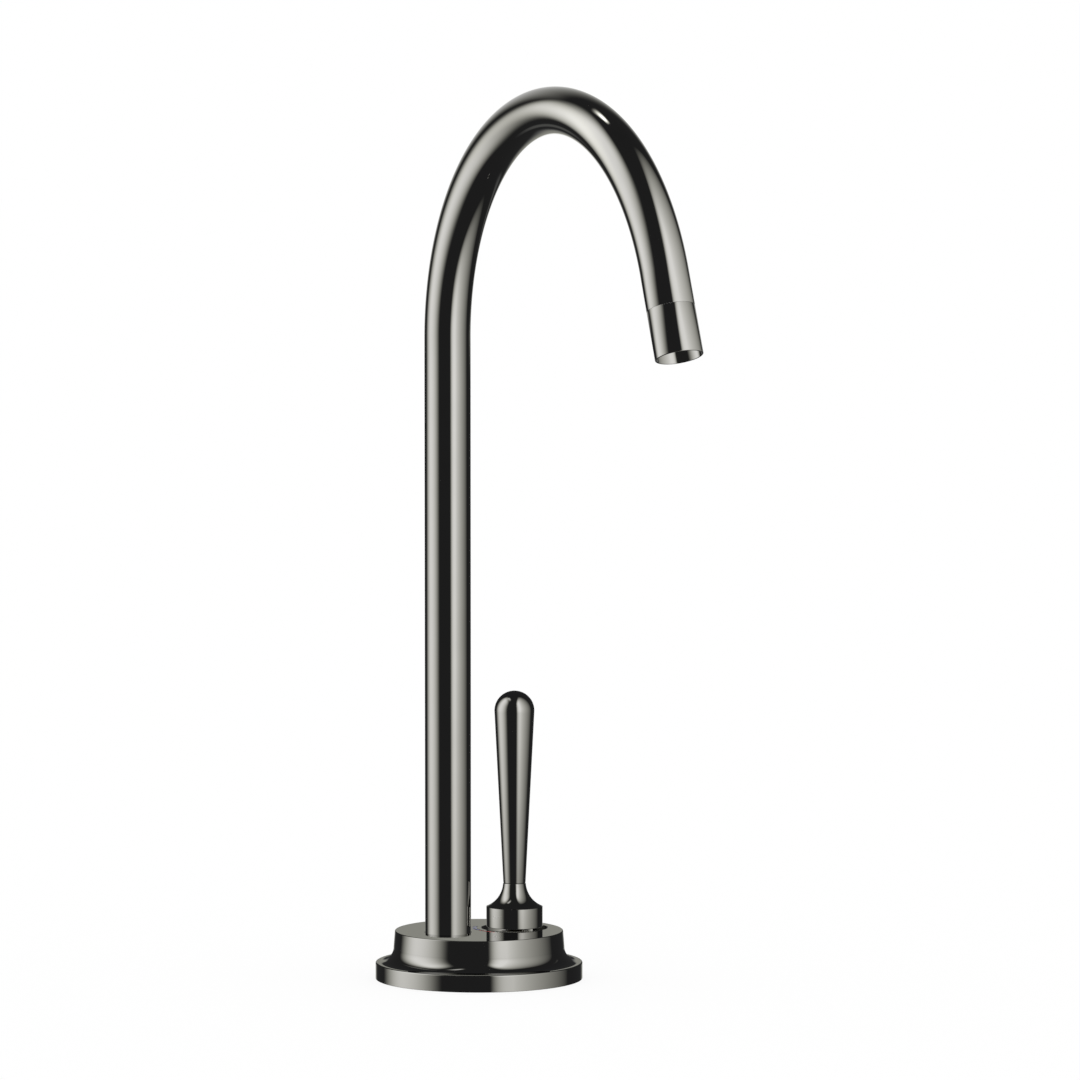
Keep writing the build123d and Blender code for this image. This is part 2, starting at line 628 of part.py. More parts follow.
def disc_keys(clearance, bottom, top):
    """Two lugs at +X and -X that stop the fixed disc from turning."""
    half = DISC_KEY_WIDTH / 2 - clearance
    inner = INNER_PART_RADIUS - DISC_KEY_DEPTH + clearance
    right = block((inner, INNER_PART_RADIUS + OVERCUT), (-half, half), (bottom, top))
    left = block((-INNER_PART_RADIUS - OVERCUT, -inner), (-half, half), (bottom, top))
    return right + left


def port_seals():
    """Four rubber rings, below and above each port of the cartridge's base."""
    outer = PORT_DIAMETER / 2 + PORT_SEAL_WIDTH
    inner = PORT_DIAMETER / 2
    seals = []
    for x, y in port_places():
        seals.append(ring(outer, inner, CHAMBER_FLOOR, CHAMBER_FLOOR + PORT_SEAL_HEIGHT, x, y))
        seals.append(ring(outer, inner, FIXED_DISC_BOTTOM - PORT_SEAL_HEIGHT, FIXED_DISC_BOTTOM, x, y))
    return Compound(children=seals)


def fixed_disc():
    """Ceramic disc with the hot and cold ports, keyed to the cartridge's base."""
    disc = rod(INNER_PART_RADIUS, FIXED_DISC_BOTTOM, FIXED_DISC_TOP)
    disc -= disc_keys(0, FIXED_DISC_BOTTOM - OVERCUT, FIXED_DISC_TOP + OVERCUT)
    port_radius = math.hypot(INLET_OFFSET_X, PORT_Y)
    port_angle = math.degrees(math.atan2(PORT_Y, -INLET_OFFSET_X))
    below = FIXED_DISC_BOTTOM - OVERCUT
    above = FIXED_DISC_TOP + OVERCUT
    for angle in (port_angle, -port_angle):
        disc -= arc_slot(port_radius, DISC_PORT_WIDTH, angle, DISC_PORT_SWEEP, below, above)
    return disc


def disc_pegs(clearance, bottom, top):
    """Two round pegs that join the moving disc and its carrier."""
    offset = (CARRIER_FLATS + WINDOW_WIDTH) / 4
    radius = CARRIER_PEG_DIAMETER / 2 + clearance
    return rod(radius, bottom, top, 0, offset) + rod(radius, bottom, top, 0, -offset)


def moving_disc():
    """Ceramic disc with the mixing window, which slides and turns on the fixed disc."""
    disc = rod(MOVING_DISC_DIAMETER / 2, MOVING_DISC_BOTTOM, CARRIER_BOTTOM)
    half_window = WINDOW_LENGTH / 2
    window_x = WINDOW_CENTRE - DISC_REST_X
    span = (window_x - half_window, window_x + half_window)
    height = (MOVING_DISC_BOTTOM - OVERCUT, CARRIER_BOTTOM + OVERCUT)
    window = block(span, (-WINDOW_WIDTH / 2, WINDOW_WIDTH / 2), height)
    disc -= fillet(window.edges().filter_by(Axis.Z), WINDOW_LENGTH / 4)
    disc -= disc_pegs(RUNNING_CLEARANCE, CARRIER_BOTTOM - CARRIER_PEG_HEIGHT, CARRIER_BOTTOM + OVERCUT)
    return Pos(DISC_REST_X, 0, 0) * disc


def disc_carrier():
    """Plastic slider that the spindle's ball pushes, guided between the rotor's cheeks."""
    half = CARRIER_FLATS / 2
    reach = MOVING_DISC_DIAMETER
    carrier = rod(MOVING_DISC_DIAMETER / 2, CARRIER_BOTTOM, CARRIER_TOP)
    carrier &= block((-reach, reach), (-half, half), (CARRIER_BOTTOM, CARRIER_TOP))
    carrier += disc_pegs(0, CARRIER_BOTTOM - CARRIER_PEG_HEIGHT, CARRIER_BOTTOM + FUSE_OVERLAP)
    carrier = Pos(DISC_REST_X, 0, 0) * carrier
    ball_radius = DRIVE_BALL_DIAMETER / 2 + DRIVE_CLEARANCE
    return carrier - rod(ball_radius, BALL_Z - ball_radius, CARRIER_TOP + OVERCUT)


def stop_slot(clearance_angle, bottom, top):
    """The arc in the housing's roof that the rotor's stop lug turns in."""
    sweep = STOP_SWEEP + 2 * TURN_RANGE + 2 * clearance_angle
    return arc_band(STOP_RADIUS, STOP_WIDTH + 4 * RUNNING_CLEARANCE, 180, sweep, bottom, top)


def cartridge_housing():
    """Plastic can of the cartridge, with side windows for the mixed water."""
    housing = rod(HOUSING_OUTER_RADIUS, HOUSING_BOTTOM, HOUSING_TOP)
    housing -= rod(HOUSING_RADIUS, HOUSING_BOTTOM - OVERCUT, HOUSING_ROOF_Z)
    neck_hole = ROTOR_NECK_DIAMETER / 2 + RUNNING_CLEARANCE
    housing -= rod(neck_hole, HOUSING_ROOF_Z - OVERCUT, HOUSING_TOP + OVERCUT)
    housing -= stop_slot(STOP_MARGIN, HOUSING_ROOF_Z - FUSE_OVERLAP, HOUSING_TOP + OVERCUT)
    half = HOUSING_WINDOW_WIDTH / 2
    reach = 2 * HOUSING_RADIUS
    level = (PASSAGE_FLOOR, ROTOR_BOTTOM)
    housing -= block((-reach, reach), (-half, half), level)
    housing -= block((-half, half), (-reach, reach), level)
    seal_bottom = PASSAGE_TOP + HOUSING_SEAL_RISE
    floor = CHAMBER_RADIUS - HOUSING_SEAL_DEPTH
    housing -= ring(CHAMBER_RADIUS + OVERCUT, floor, seal_bottom, seal_bottom + HOUSING_SEAL_HEIGHT)
    return housing


def housing_seal():
    """Rubber ring that seals the cartridge in the chamber above the water gallery."""
    bottom = PASSAGE_TOP + HOUSING_SEAL_RISE
    inner = CHAMBER_RADIUS - HOUSING_SEAL_DEPTH
    return seal_ring(CHAMBER_RADIUS, inner, bottom, bottom + HOUSING_SEAL_HEIGHT)


def rotor_slot():
    """The space in the rotor that the spindle's shaft rocks in."""
    slope = math.tan(math.radians(LEVER_TILT))
    shaft = SPINDLE_SHAFT_DIAMETER / 2
    right = shaft + SLOT_MARGIN
    top = PIVOT_Z - SPINDLE_BALL_DIAMETER / 4
    bottom = ROTOR_BOTTOM - OVERCUT
    rim = shaft / math.cos(math.radians(LEVER_TILT)) + SLOT_MARGIN
    outline = [
        (-rim - (PIVOT_Z - top) * slope, 0, top),
        (right, 0, top),
        (right, 0, bottom),
        (-rim - (PIVOT_Z - bottom) * slope, 0, bottom),
    ]
    half_width = shaft + SLOT_MARGIN
    return extrude(make_face(Polyline(*outline, close=True)), half_width, both=True)


def spindle_seal_range():
    """The heights between which the spindle's seal lies, just under the pivot pin."""
    top = PIVOT_Z - PIVOT_PIN_DIAMETER / 2 - RUNNING_CLEARANCE
    return top - SPINDLE_SEAL_HEIGHT, top


def rotor():
    """Plastic rotor that carries the pivot pin, turns with the lever and guides the disc."""
    neck_top = PIVOT_Z + ROTOR_NECK_RISE
    neck_radius = ROTOR_NECK_DIAMETER / 2
    body = rod(INNER_PART_RADIUS, ROTOR_BOTTOM, ROTOR_TOP) + rod(neck_radius, ROTOR_TOP, neck_top)
    cheek_y = CARRIER_FLATS / 2 + RUNNING_CLEARANCE
    cheek_bottom = ROTOR_BOTTOM - ROTOR_CHEEK_HEIGHT
    cheeks = rod(INNER_PART_RADIUS, cheek_bottom, ROTOR_BOTTOM)
    reach = 2 * HOUSING_RADIUS
    body += cheeks - block((-reach, reach), (-cheek_y, cheek_y), (cheek_bottom - OVERCUT, ROTOR_BOTTOM))
    lug_foot = ROTOR_TOP - FUSE_OVERLAP
    body += arc_band(STOP_RADIUS, STOP_WIDTH, 180, STOP_SWEEP, lug_foot, HOUSING_TOP - STOP_ROOF_GAP)
    groove_bottom = ROTOR_BOTTOM + ROTOR_SEAL_RISE
    groove_floor = INNER_PART_RADIUS - ROTOR_SEAL_DEPTH
    body -= ring(HOUSING_RADIUS + OVERCUT, groove_floor, groove_bottom, groove_bottom + ROTOR_SEAL_HEIGHT)
    body -= rod(ROTOR_BORE / 2, spindle_seal_range()[0], neck_top + OVERCUT)
    body -= rotor_slot()
    body -= Pos(0, 0, PIVOT_Z) * Sphere(SPINDLE_BALL_DIAMETER / 2 + RUNNING_CLEARANCE)
    return body - pivot_bar(PIVOT_PIN_DIAMETER / 2, ROTOR_NECK_DIAMETER)


def pivot_bar(radius, length):
    """A bar along Y through the pivot."""
    return Pos(0, 0, PIVOT_Z) * Rot(90, 0, 0) * Cylinder(radius, length)


def rotor_seal():
    """Rubber ring that seals the rotor in the housing."""
    bottom = ROTOR_BOTTOM + ROTOR_SEAL_RISE
    outer = HOUSING_RADIUS - RUNNING_CLEARANCE / 2
    return seal_ring(outer, INNER_PART_RADIUS - ROTOR_SEAL_DEPTH, bottom, bottom + ROTOR_SEAL_HEIGHT)


def pivot_pin():
    """Steel pin that the lever rocks on."""
    return pivot_bar(PIVOT_PIN_DIAMETER / 2, ROTOR_NECK_DIAMETER - 2 * PIN_INSET)


def spindle_seal():
    """Rubber ring round the spindle's ball."""
    bottom, top = spindle_seal_range()
    ball = SPINDLE_BALL_DIAMETER / 2
    inner = math.sqrt(ball ** 2 - (PIVOT_Z - top) ** 2) + RUNNING_CLEARANCE / 2
    return ring(ROTOR_BORE / 2, inner, bottom, top)


def cartridge_nut():
    """Domed ring nut that presses the cartridge down and closes the lever's opening."""
    bottom = HOUSING_TOP
    edge = bottom + NUT_EDGE_RISE
    bore = NUT_BORE / 2
    nut = turned((bore, bottom), (NUT_RADIUS, bottom), (NUT_RADIUS, edge), (bore, edge + NUT_DOME_RISE))
    half = NUT_SLOT_WIDTH / 2
    slot_z = (edge - NUT_SLOT_DEPTH, edge + NUT_DOME_RISE)
    slot = block((NUT_RADIUS - NUT_SLOT_WIDTH, NUT_RADIUS + OVERCUT), (-half, half), slot_z)
    for place in PolarLocations(0, NUT_SLOTS):
        nut -= place * slot
    return nut


# Lever

def spindle_flats(bottom, top):
    """The two-flat bar at the spindle's top and the matching hole in the hub."""
    half = SPINDLE_FLATS / 2
    reach = SPINDLE_DIAMETER
    return rod(SPINDLE_DIAMETER / 2, bottom, top) & block((-reach, reach), (-half, half), (bottom, top))


def spindle():
    """Brass spindle: flats for the hub, the pivot ball, a shaft and the drive ball."""
    body = Pos(0, 0, PIVOT_Z) * Sphere(SPINDLE_BALL_DIAMETER / 2)
    body += spindle_flats(PIVOT_Z, SPINDLE_TOP)
    drive_ball = DRIVE_BALL_DIAMETER / 2
    body += rod(SPINDLE_SHAFT_DIAMETER / 2, BALL_Z + drive_ball, PIVOT_Z)
    body += rod(DRIVE_NECK_DIAMETER / 2, BALL_Z, PIVOT_Z)
    body += Pos(0, 0, BALL_Z) * Sphere(drive_ball)
    body -= pivot_bar(PIVOT_PIN_DIAMETER / 2 + PIN_CLEARANCE, SPINDLE_DIAMETER * 2)
    return body - rod(STUD_DIAMETER / 2, SPINDLE_TOP - STUD_IN_SPINDLE, SPINDLE_TOP + OVERCUT)


def lever_hub():
    """Turned hub: a short cylinder that sweeps up in a hollow curve to a slim neck."""
    outer = HUB_DIAMETER / 2
    top_chamfer = (HUB_TOP_RADIUS - GROOVE_CHAMFER, GRIP_BOTTOM)
    neck = (HUB_TOP_RADIUS, GRIP_BOTTOM - GROOVE_CHAMFER)
    shoulder = (outer, HUB_BOTTOM + HUB_CYLINDER_HEIGHT)
    waist = (HUB_MID_RADIUS, HUB_BOTTOM + HUB_MID_HEIGHT)
    hub = turned_curves(
        line((0, HUB_BOTTOM), (outer, HUB_BOTTOM)),
        line((outer, HUB_BOTTOM), shoulder),
        arc(shoulder, waist, neck),
        line(neck, top_chamfer),
        line(top_chamfer, (0, GRIP_BOTTOM)),
        line((0, GRIP_BOTTOM), (0, HUB_BOTTOM)),
    )
    hub = fillet(circles(hub, outer, HUB_BOTTOM), HUB_EDGE_RADIUS)
    hub -= spindle_flats(HUB_BOTTOM - OVERCUT, SPINDLE_TOP)
    return hub - rod(STUD_DIAMETER / 2, SPINDLE_TOP - OVERCUT, GRIP_BOTTOM + OVERCUT)


def lever_grip():
    """Long grip that widens evenly to a ball-shaped end."""
    length = GRIP_LENGTH - GROOVE_CHAMFER
    taper = math.atan2(GRIP_END_RADIUS - GRIP_FOOT_RADIUS, length - GRIP_END_RADIUS)
    ball_z = GRIP_TOP - GRIP_END_RADIUS / math.cos(taper)
    ball = GRIP_END_RADIUS / math.cos(taper)
    tangent = (ball * math.cos(taper), ball_z - ball * math.sin(taper))
    middle = (ball * math.cos(math.radians(45)), ball_z + ball * math.sin(math.radians(45)))
    foot = (GRIP_FOOT_RADIUS, GRIP_BOTTOM + GROOVE_CHAMFER)
    heel = (GRIP_FOOT_RADIUS - GROOVE_CHAMFER, GRIP_BOTTOM)
    grip = turned_curves(
        line((0, GRIP_BOTTOM), heel),
        line(heel, foot),
        line(foot, tangent),
        arc(tangent, middle, (0, GRIP_TOP)),
        line((0, GRIP_TOP), (0, GRIP_BOTTOM)),
    )
    return grip - rod(STUD_DIAMETER / 2, GRIP_BOTTOM - OVERCUT, GRIP_BOTTOM + STUD_IN_GRIP)


def lever_stud():
    """Steel stud that screws spindle, hub and grip together."""
    return rod(STUD_DIAMETER / 2, SPINDLE_TOP - STUD_IN_SPINDLE, GRIP_BOTTOM + STUD_IN_GRIP)


# Fixing set

def clamp_gasket():
    """Rubber ring against the worktop's underside."""
    return ring(CLAMP_DIAMETER / 2, CLAMP_BORE / 2, CLAMP_GASKET_BOTTOM, -WORKTOP_THICKNESS)


def clamp_washer():
    """Steel ring that spreads the clamping screws' load."""
    return ring(CLAMP_DIAMETER / 2, CLAMP_BORE / 2, CLAMP_WASHER_BOTTOM, CLAMP_GASKET_BOTTOM)


def clamp_screw_places():
    """The two clamping screws, left and right of the shank."""
    return [(CLAMP_SCREW_RADIUS, 0), (-CLAMP_SCREW_RADIUS, 0)]


def fixing_nut():
    """Brass nut on the shank, with two spanner flats and two tapped holes."""
    bottom = FIXING_NUT_TOP - FIXING_NUT_HEIGHT
    half = FIXING_NUT_FLATS / 2
    reach = CLAMP_DIAMETER
    nut = rod(CLAMP_DIAMETER / 2, bottom, FIXING_NUT_TOP)
    nut &= block((-reach, reach), (-half, half), (bottom, FIXING_NUT_TOP))
    nut -= rod(SHANK_RADIUS, bottom - OVERCUT, FIXING_NUT_TOP + OVERCUT)
    for x, y in clamp_screw_places():
        nut -= rod(CLAMP_SCREW_DIAMETER / 2, bottom - OVERCUT, FIXING_NUT_TOP + OVERCUT, x, y)
    return nut


def clamp_screws():
    """Two hexagon screws that press the washer and gasket against the worktop."""
    bottom = CLAMP_WASHER_BOTTOM - CLAMP_SCREW_LENGTH
    screws = []
    for x, y in clamp_screw_places():
        head = hex_rod(CLAMP_SCREW_HEX, bottom - CLAMP_SCREW_HEAD, bottom, x, y)
        screws.append(head + rod(CLAMP_SCREW_DIAMETER / 2, bottom, CLAMP_WASHER_BOTTOM, x, y))
    return Compound(children=screws)


PIECES = {
    "base_shell": base_shell(),
    "deck_seal": deck_seal(),
    "cold_mark": mark_arc(1),
    "hot_mark": mark_arc(-1),
    "shell_screws": shell_screws(),
    "valve_body": valve_body(),
    "spout_bearing": spout_bearing(),
    "spout_tube": spout_tube(),
    "spout_foot": spout_foot(),
    "spout_foot_seal": spout_foot_seal(),
    "spout_snap_ring": spout_snap_ring(),
    "outlet_nozzle": outlet_nozzle(),
    "aerator_seal": aerator_seal(),
    "aerator_housing": aerator_housing(),
    "aerator_screens": aerator_screens(),
    "cartridge_base": cartridge_base(),
    "port_seals": port_seals(),
    "fixed_disc": fixed_disc(),
    "moving_disc": moving_disc(),
    "disc_carrier": disc_carrier(),
    "cartridge_housing": cartridge_housing(),
    "housing_seal": housing_seal(),
    "rotor": rotor(),
    "rotor_seal": rotor_seal(),
    "pivot_pin": pivot_pin(),
    "spindle_seal": spindle_seal(),
    "cartridge_nut": cartridge_nut(),
    "spindle": spindle(),
    "lever_hub": lever_hub(),
    "lever_grip": lever_grip(),
    "lever_stud": lever_stud(),
    "clamp_gasket": clamp_gasket(),
    "clamp_washer": clamp_washer(),
    "fixing_nut": fixing_nut(),
    "clamp_screws": clamp_screws(),
}

for node, solid in PIECES.items():
    export_step(solid, f"parts/{node}.step")
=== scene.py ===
"""Single-lever kitchen mixer tap: swan-neck swivel spout and pin lever, in polished black chrome."""
import math

import bpy
from mathutils import Matrix, Vector


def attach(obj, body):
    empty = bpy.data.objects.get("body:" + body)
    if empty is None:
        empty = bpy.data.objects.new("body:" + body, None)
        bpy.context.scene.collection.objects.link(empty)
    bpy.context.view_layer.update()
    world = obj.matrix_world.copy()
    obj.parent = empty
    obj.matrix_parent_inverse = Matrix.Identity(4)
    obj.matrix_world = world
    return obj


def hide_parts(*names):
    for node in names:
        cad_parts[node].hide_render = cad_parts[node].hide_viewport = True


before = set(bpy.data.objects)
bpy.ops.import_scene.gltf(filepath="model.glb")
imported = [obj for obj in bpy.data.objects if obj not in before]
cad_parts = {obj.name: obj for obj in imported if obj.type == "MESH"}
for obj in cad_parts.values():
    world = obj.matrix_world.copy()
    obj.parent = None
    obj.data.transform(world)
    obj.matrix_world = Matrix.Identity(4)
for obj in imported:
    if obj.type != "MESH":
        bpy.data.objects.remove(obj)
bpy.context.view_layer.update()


# Camera
# A long lens from 2.6 m in front and to the left, a little above the arch, looking slightly down.
# The tap stands left of the middle, so the lens's axis passes the riser on its right.

MM = 0.001
VIEW_TURN = math.radians(-28.25)
VIEW_DROP = math.radians(4.367)
EYE_RIGHT = 36.06
EYE_BACK = 2587.7
EYE_HEIGHT = 370.98
RISER_X = -29.5
to_right = Vector((math.cos(VIEW_TURN), math.sin(VIEW_TURN), 0))
ahead = Vector((-math.sin(VIEW_TURN), math.cos(VIEW_TURN), 0))
eye = Vector((RISER_X, 0, 0)) + EYE_RIGHT * to_right - EYE_BACK * ahead
eye.z = EYE_HEIGHT
bpy.ops.object.select_all(action="DESELECT")
bpy.ops.object.camera_add(location=eye * MM, rotation=(math.radians(90) - VIEW_DROP, 0, VIEW_TURN))
camera = bpy.context.object
camera.name = "camera"
camera.data.sensor_width = 36
camera.data.lens = 221.4
camera.data.clip_end = 50
bpy.context.scene.camera = camera
bpy.context.scene.view_settings.view_transform = "Standard"


# Room
# A dark room that glows dimly behind the tap: just above the worktop for the flat top of the base,
# and on the far floor, with a strip on each side, for the underside of the arch. Only polished metal
# shows it. All else sees plain white, and so does the camera.

def linear(hex_colour):
    """An sRGB colour such as "c8c6c0" as the linear RGBA that a shader socket takes."""
    parts = [int(hex_colour[i:i + 2], 16) / 255 for i in (0, 2, 4)]
    return [p / 12.92 if p <= 0.04045 else ((p + 0.055) / 1.055) ** 2.4 for p in parts] + [1]


def add_node(tree, kind, settings, links):
    """Adds a shader node, sets its sockets and options, and joins other nodes' outputs to it."""
    made = tree.nodes.new(kind)
    for key, value in settings.items():
        if isinstance(key, str) and hasattr(made, key):
            setattr(made, key, value)
        else:
            made.inputs[key].default_value = value
    for key, source in links.items():
        tree.links.new(source, made.inputs[key])
    return made


def faded(tree, fades):
    """The product of fades, each one (value, where it is nothing, where it is full, kind of fade)."""
    shape = None
    for value, start, full, kind in fades:
        part = add_node(tree, "ShaderNodeMapRange",
                        {"interpolation_type": kind, "From Min": start, "From Max": full},
                        {"Value": value})
        if shape is not None:
            part = add_node(tree, "ShaderNodeMath", {"operation": "MULTIPLY"},
                            {0: shape.outputs[0], 1: part.outputs[0]})
        shape = part
    return shape


world = bpy.data.worlds.new("dark_room")
bpy.context.scene.world = world
world.use_nodes = True
world.cycles.sampling_method = "NONE"
room = world.node_tree
room.nodes.clear()
sight = add_node(room, "ShaderNodeTexCoord", {}, {})
turned_sight = add_node(room, "ShaderNodeMapping", {"Rotation": (0, 0, -VIEW_TURN)},
                        {"Vector": sight.outputs["Generated"]})
parts = add_node(room, "ShaderNodeSeparateXYZ", {}, {"Vector": turned_sight.outputs["Vector"]})
side = add_node(room, "ShaderNodeMath", {"operation": "ARCTAN2"},
                {0: parts.outputs["X"], 1: parts.outputs["Y"]})
side = add_node(room, "ShaderNodeMath", {"operation": "DEGREES"}, {0: side.outputs[0]})
rise = add_node(room, "ShaderNodeMath", {"operation": "ARCSINE"}, {0: parts.outputs["Z"]})
rise = add_node(room, "ShaderNodeMath", {"operation": "DEGREES"}, {0: rise.outputs[0]})
side, rise = side.outputs[0], rise.outputs[0]

# Angles are in degrees: side is 0 straight behind the tap and grows to the right, rise is upwards.
SOFT = "SMOOTHSTEP"
EVEN = "LINEAR"
ROOM_GLOW = 0.035
PATCH_GLOW = 0.315
STRIP_SHARE = 0.36
near_worktop = faded(room, [(side, -14, -8, SOFT), (side, 9, 3, SOFT), (rise, 1, 6, SOFT),
                            (rise, 11, 9, SOFT)])
off_centre = add_node(room, "ShaderNodeMath", {"operation": "ABSOLUTE"}, {0: side}).outputs[0]
far_floor = faded(room, [(off_centre, 23, 11, SOFT), (rise, -5, -8, SOFT), (rise, -35, -18, SOFT)])
strips = faded(room, [(off_centre, 26, 31, SOFT), (off_centre, 38, 34, SOFT), (rise, -10, -18, SOFT),
                      (rise, -50, -30, SOFT)])
below = add_node(room, "ShaderNodeMath", {"operation": "MULTIPLY_ADD", 1: STRIP_SHARE},
                 {0: strips.outputs[0], 2: far_floor.outputs[0]})
patches = add_node(room, "ShaderNodeMath", {"operation": "ADD"},
                   {0: near_worktop.outputs[0], 1: below.outputs[0]})
glow = add_node(room, "ShaderNodeMath", {"operation": "MULTIPLY_ADD", 1: PATCH_GLOW, 2: ROOM_GLOW},
                {0: patches.outputs[0]})
seen_by = add_node(room, "ShaderNodeLightPath", {}, {})
plain = add_node(room, "ShaderNodeBackground", {"Color": linear("ffffff"), "Strength": 1}, {})
COOL_WHITE = "f8f9ff"
WARM_WHITE = "fffff3"
warmth = add_node(room, "ShaderNodeValToRGB", {}, {"Fac": glow.outputs[0]})
warmth.color_ramp.elements[0].color = linear(COOL_WHITE)
warmth.color_ramp.elements[1].position = 0.3
warmth.color_ramp.elements[1].color = linear(WARM_WHITE)
studio = add_node(room, "ShaderNodeBackground", {},
                  {"Color": warmth.outputs["Color"], "Strength": glow.outputs[0]})
chosen = add_node(room, "ShaderNodeMixShader", {},
                  {0: seen_by.outputs["Is Glossy Ray"], 1: plain.outputs[0], 2: studio.outputs[0]})
add_node(room, "ShaderNodeOutputWorld", {}, {"Surface": chosen.outputs[0]})


# Soft boxes
# Two tall diffusers beside the tap, in line with the camera's view: a wide one on the left, with a
# small one near the arch, and one on the right that dies away behind. A dim card leans behind the
# arch, and a narrow lamp gives the one hard glint. Only polished metal shows them.

def only_in_mirrors(piece):
    """Marks a stage piece that the polished metal shows and nothing else does."""
    piece.visible_camera = False
    piece.visible_diffuse = False
    piece.visible_transmission = False
    piece.visible_volume_scatter = False
    piece.visible_shadow = False


def soft_box(name, facing, distance, across, upward, back_fade, strength, outward_only=False, lean=0.0):
    """An upright card with faded edges, in mm. across runs along it and upward up it, each from
    where its light starts, through where it is full, to where it ends. lean slants its sides. The
    light adds to what is behind the card, and outward_only keeps it to the side that faces out."""
    turn = VIEW_TURN + math.radians(facing)
    along = Vector((math.cos(turn), math.sin(turn), 0))
    outward = Vector((math.sin(turn), -math.cos(turn), 0))
    middle = outward * distance + along * (across[0] + across[3]) / 2
    middle.z = (upward[0] + upward[3]) / 2
    bpy.ops.object.select_all(action="DESELECT")
    bpy.ops.mesh.primitive_plane_add(size=1, location=middle * MM, rotation=(math.radians(90), 0, turn))
    card = bpy.context.object
    card.name = name
    height = upward[3] - upward[0]
    card.scale = ((across[3] - across[0] + lean * height) * MM, height * MM, 1)
    bpy.ops.object.transform_apply()
    glowing = bpy.data.materials.new(name)
    glowing.use_nodes = True
    glowing.cycles.emission_sampling = "NONE"
    tree = glowing.node_tree
    tree.nodes.clear()
    place = add_node(tree, "ShaderNodeTexCoord", {}, {})
    flat = add_node(tree, "ShaderNodeMapping",
                    {"Rotation": (0, 0, -turn), "Scale": (1 / MM, 1 / MM, 1 / MM)},
                    {"Vector": place.outputs["Object"]})
    spot = add_node(tree, "ShaderNodeSeparateXYZ", {}, {"Vector": flat.outputs["Vector"]})
    slant = add_node(tree, "ShaderNodeMath", {"operation": "MULTIPLY_ADD", 1: -lean, 2: lean * middle.z},
                     {0: spot.outputs["Z"]})
    slanted = add_node(tree, "ShaderNodeMath", {"operation": "ADD"},
                       {0: spot.outputs["X"], 1: slant.outputs[0]})
    along_card = slanted.outputs[0]
    up_card = spot.outputs["Z"]
    fades = [(along_card, across[0], across[1], SOFT), (along_card, across[3], across[2], back_fade)]
    fades += [(up_card, upward[0], upward[1], SOFT), (up_card, upward[3], upward[2], SOFT)]
    if outward_only:
        facing_side = add_node(tree, "ShaderNodeNewGeometry", {}, {})
        fades.append((facing_side.outputs["Backfacing"], 1, 0, EVEN))
    shape = faded(tree, fades)
    warmth = add_node(tree, "ShaderNodeValToRGB", {}, {"Fac": shape.outputs[0]})
    warmth.color_ramp.elements[0].color = linear(WARM_WHITE)
    warmth.color_ramp.elements[1].color = linear("ffffff")
    power = add_node(tree, "ShaderNodeMath", {"operation": "MULTIPLY", 1: strength},
                     {0: shape.outputs[0]})
    light = add_node(tree, "ShaderNodeEmission", {},
                     {"Color": warmth.outputs["Color"], "Strength": power.outputs[0]})
    clear = add_node(tree, "ShaderNodeBsdfTransparent", {}, {})
    surface = add_node(tree, "ShaderNodeAddShader", {}, {0: light.outputs[0], 1: clear.outputs[0]})
    add_node(tree, "ShaderNodeOutputMaterial", {}, {"Surface": surface.outputs[0]})
    card.data.materials.append(glowing)
    only_in_mirrors(card)


soft_box("left_soft_box", -93.7, 688, (-502, 31, 32, 932), (-858, 220, 779, 1628), SOFT, 1.79)
soft_box("left_lamp_near_arch", -75, 120, (-65, -16, 19, 102), (267, 367, 368, 472), SOFT, 1.08)
soft_box("right_soft_box", 86.7, 293, (-1107, -434, -366, 134), (-594, 226, 579, 1357), EVEN, 1.83)
soft_box("rear_card", 180, 400, (-363, 105, 182, 552), (206, 277, 387, 973), SOFT, 0.74, lean=0.54)
soft_box("glint_lamp", 28, 60, (-61, -37, -37, -13), (443, 505, 505, 567), SOFT, 5.0, outward_only=True)


# Shade behind the tap
# A sheet of black velvet that lies like a shelf behind the arch and widens to the rear. It is seen
# only from below, and keeps the rear card's light off the base and the lever's hub.

def one_sided(name, front_kind, settings):
    """A sheet with one shader on its front, and clear on its back."""
    sheet = bpy.data.materials.new(name)
    sheet.use_nodes = True
    tree = sheet.node_tree
    tree.nodes.clear()
    front = add_node(tree, front_kind, settings, {})
    clear = add_node(tree, "ShaderNodeBsdfTransparent", {}, {})
    facing = add_node(tree, "ShaderNodeNewGeometry", {}, {})
    chosen = add_node(tree, "ShaderNodeMixShader", {},
                      {0: facing.outputs["Backfacing"], 1: front.outputs[0], 2: clear.outputs[0]})
    add_node(tree, "ShaderNodeOutputMaterial", {}, {"Surface": chosen.outputs[0]})
    return sheet


SHELF_WIDTH = 120.0
SHELF_FRONT = 26.0
SHELF_REAR = 398.0
SHELF_HEIGHT = 195.0
SHELF_SPREAD = 7.0
bpy.ops.object.select_all(action="DESELECT")
bpy.ops.mesh.primitive_plane_add(
    size=1, location=(0, (SHELF_FRONT + SHELF_REAR) / 2 * MM, SHELF_HEIGHT * MM))
shelf = bpy.context.object
shelf.name = "shade_behind"
shelf.scale = (SHELF_WIDTH * MM, (SHELF_REAR - SHELF_FRONT) * MM, 1)
bpy.ops.object.transform_apply()
bpy.ops.object.mode_set(mode="EDIT")
bpy.ops.mesh.select_mode(type="EDGE")
bpy.ops.mesh.select_all(action="DESELECT")
bpy.ops.object.mode_set(mode="OBJECT")
for edge in shelf.data.edges:
    edge.select = all(shelf.data.vertices[i].co.y > (SHELF_REAR - 1) * MM for i in edge.vertices)
bpy.ops.object.mode_set(mode="EDIT")
bpy.ops.transform.resize(value=(SHELF_SPREAD, 1, 1),
                         center_override=(0, SHELF_REAR * MM, SHELF_HEIGHT * MM))
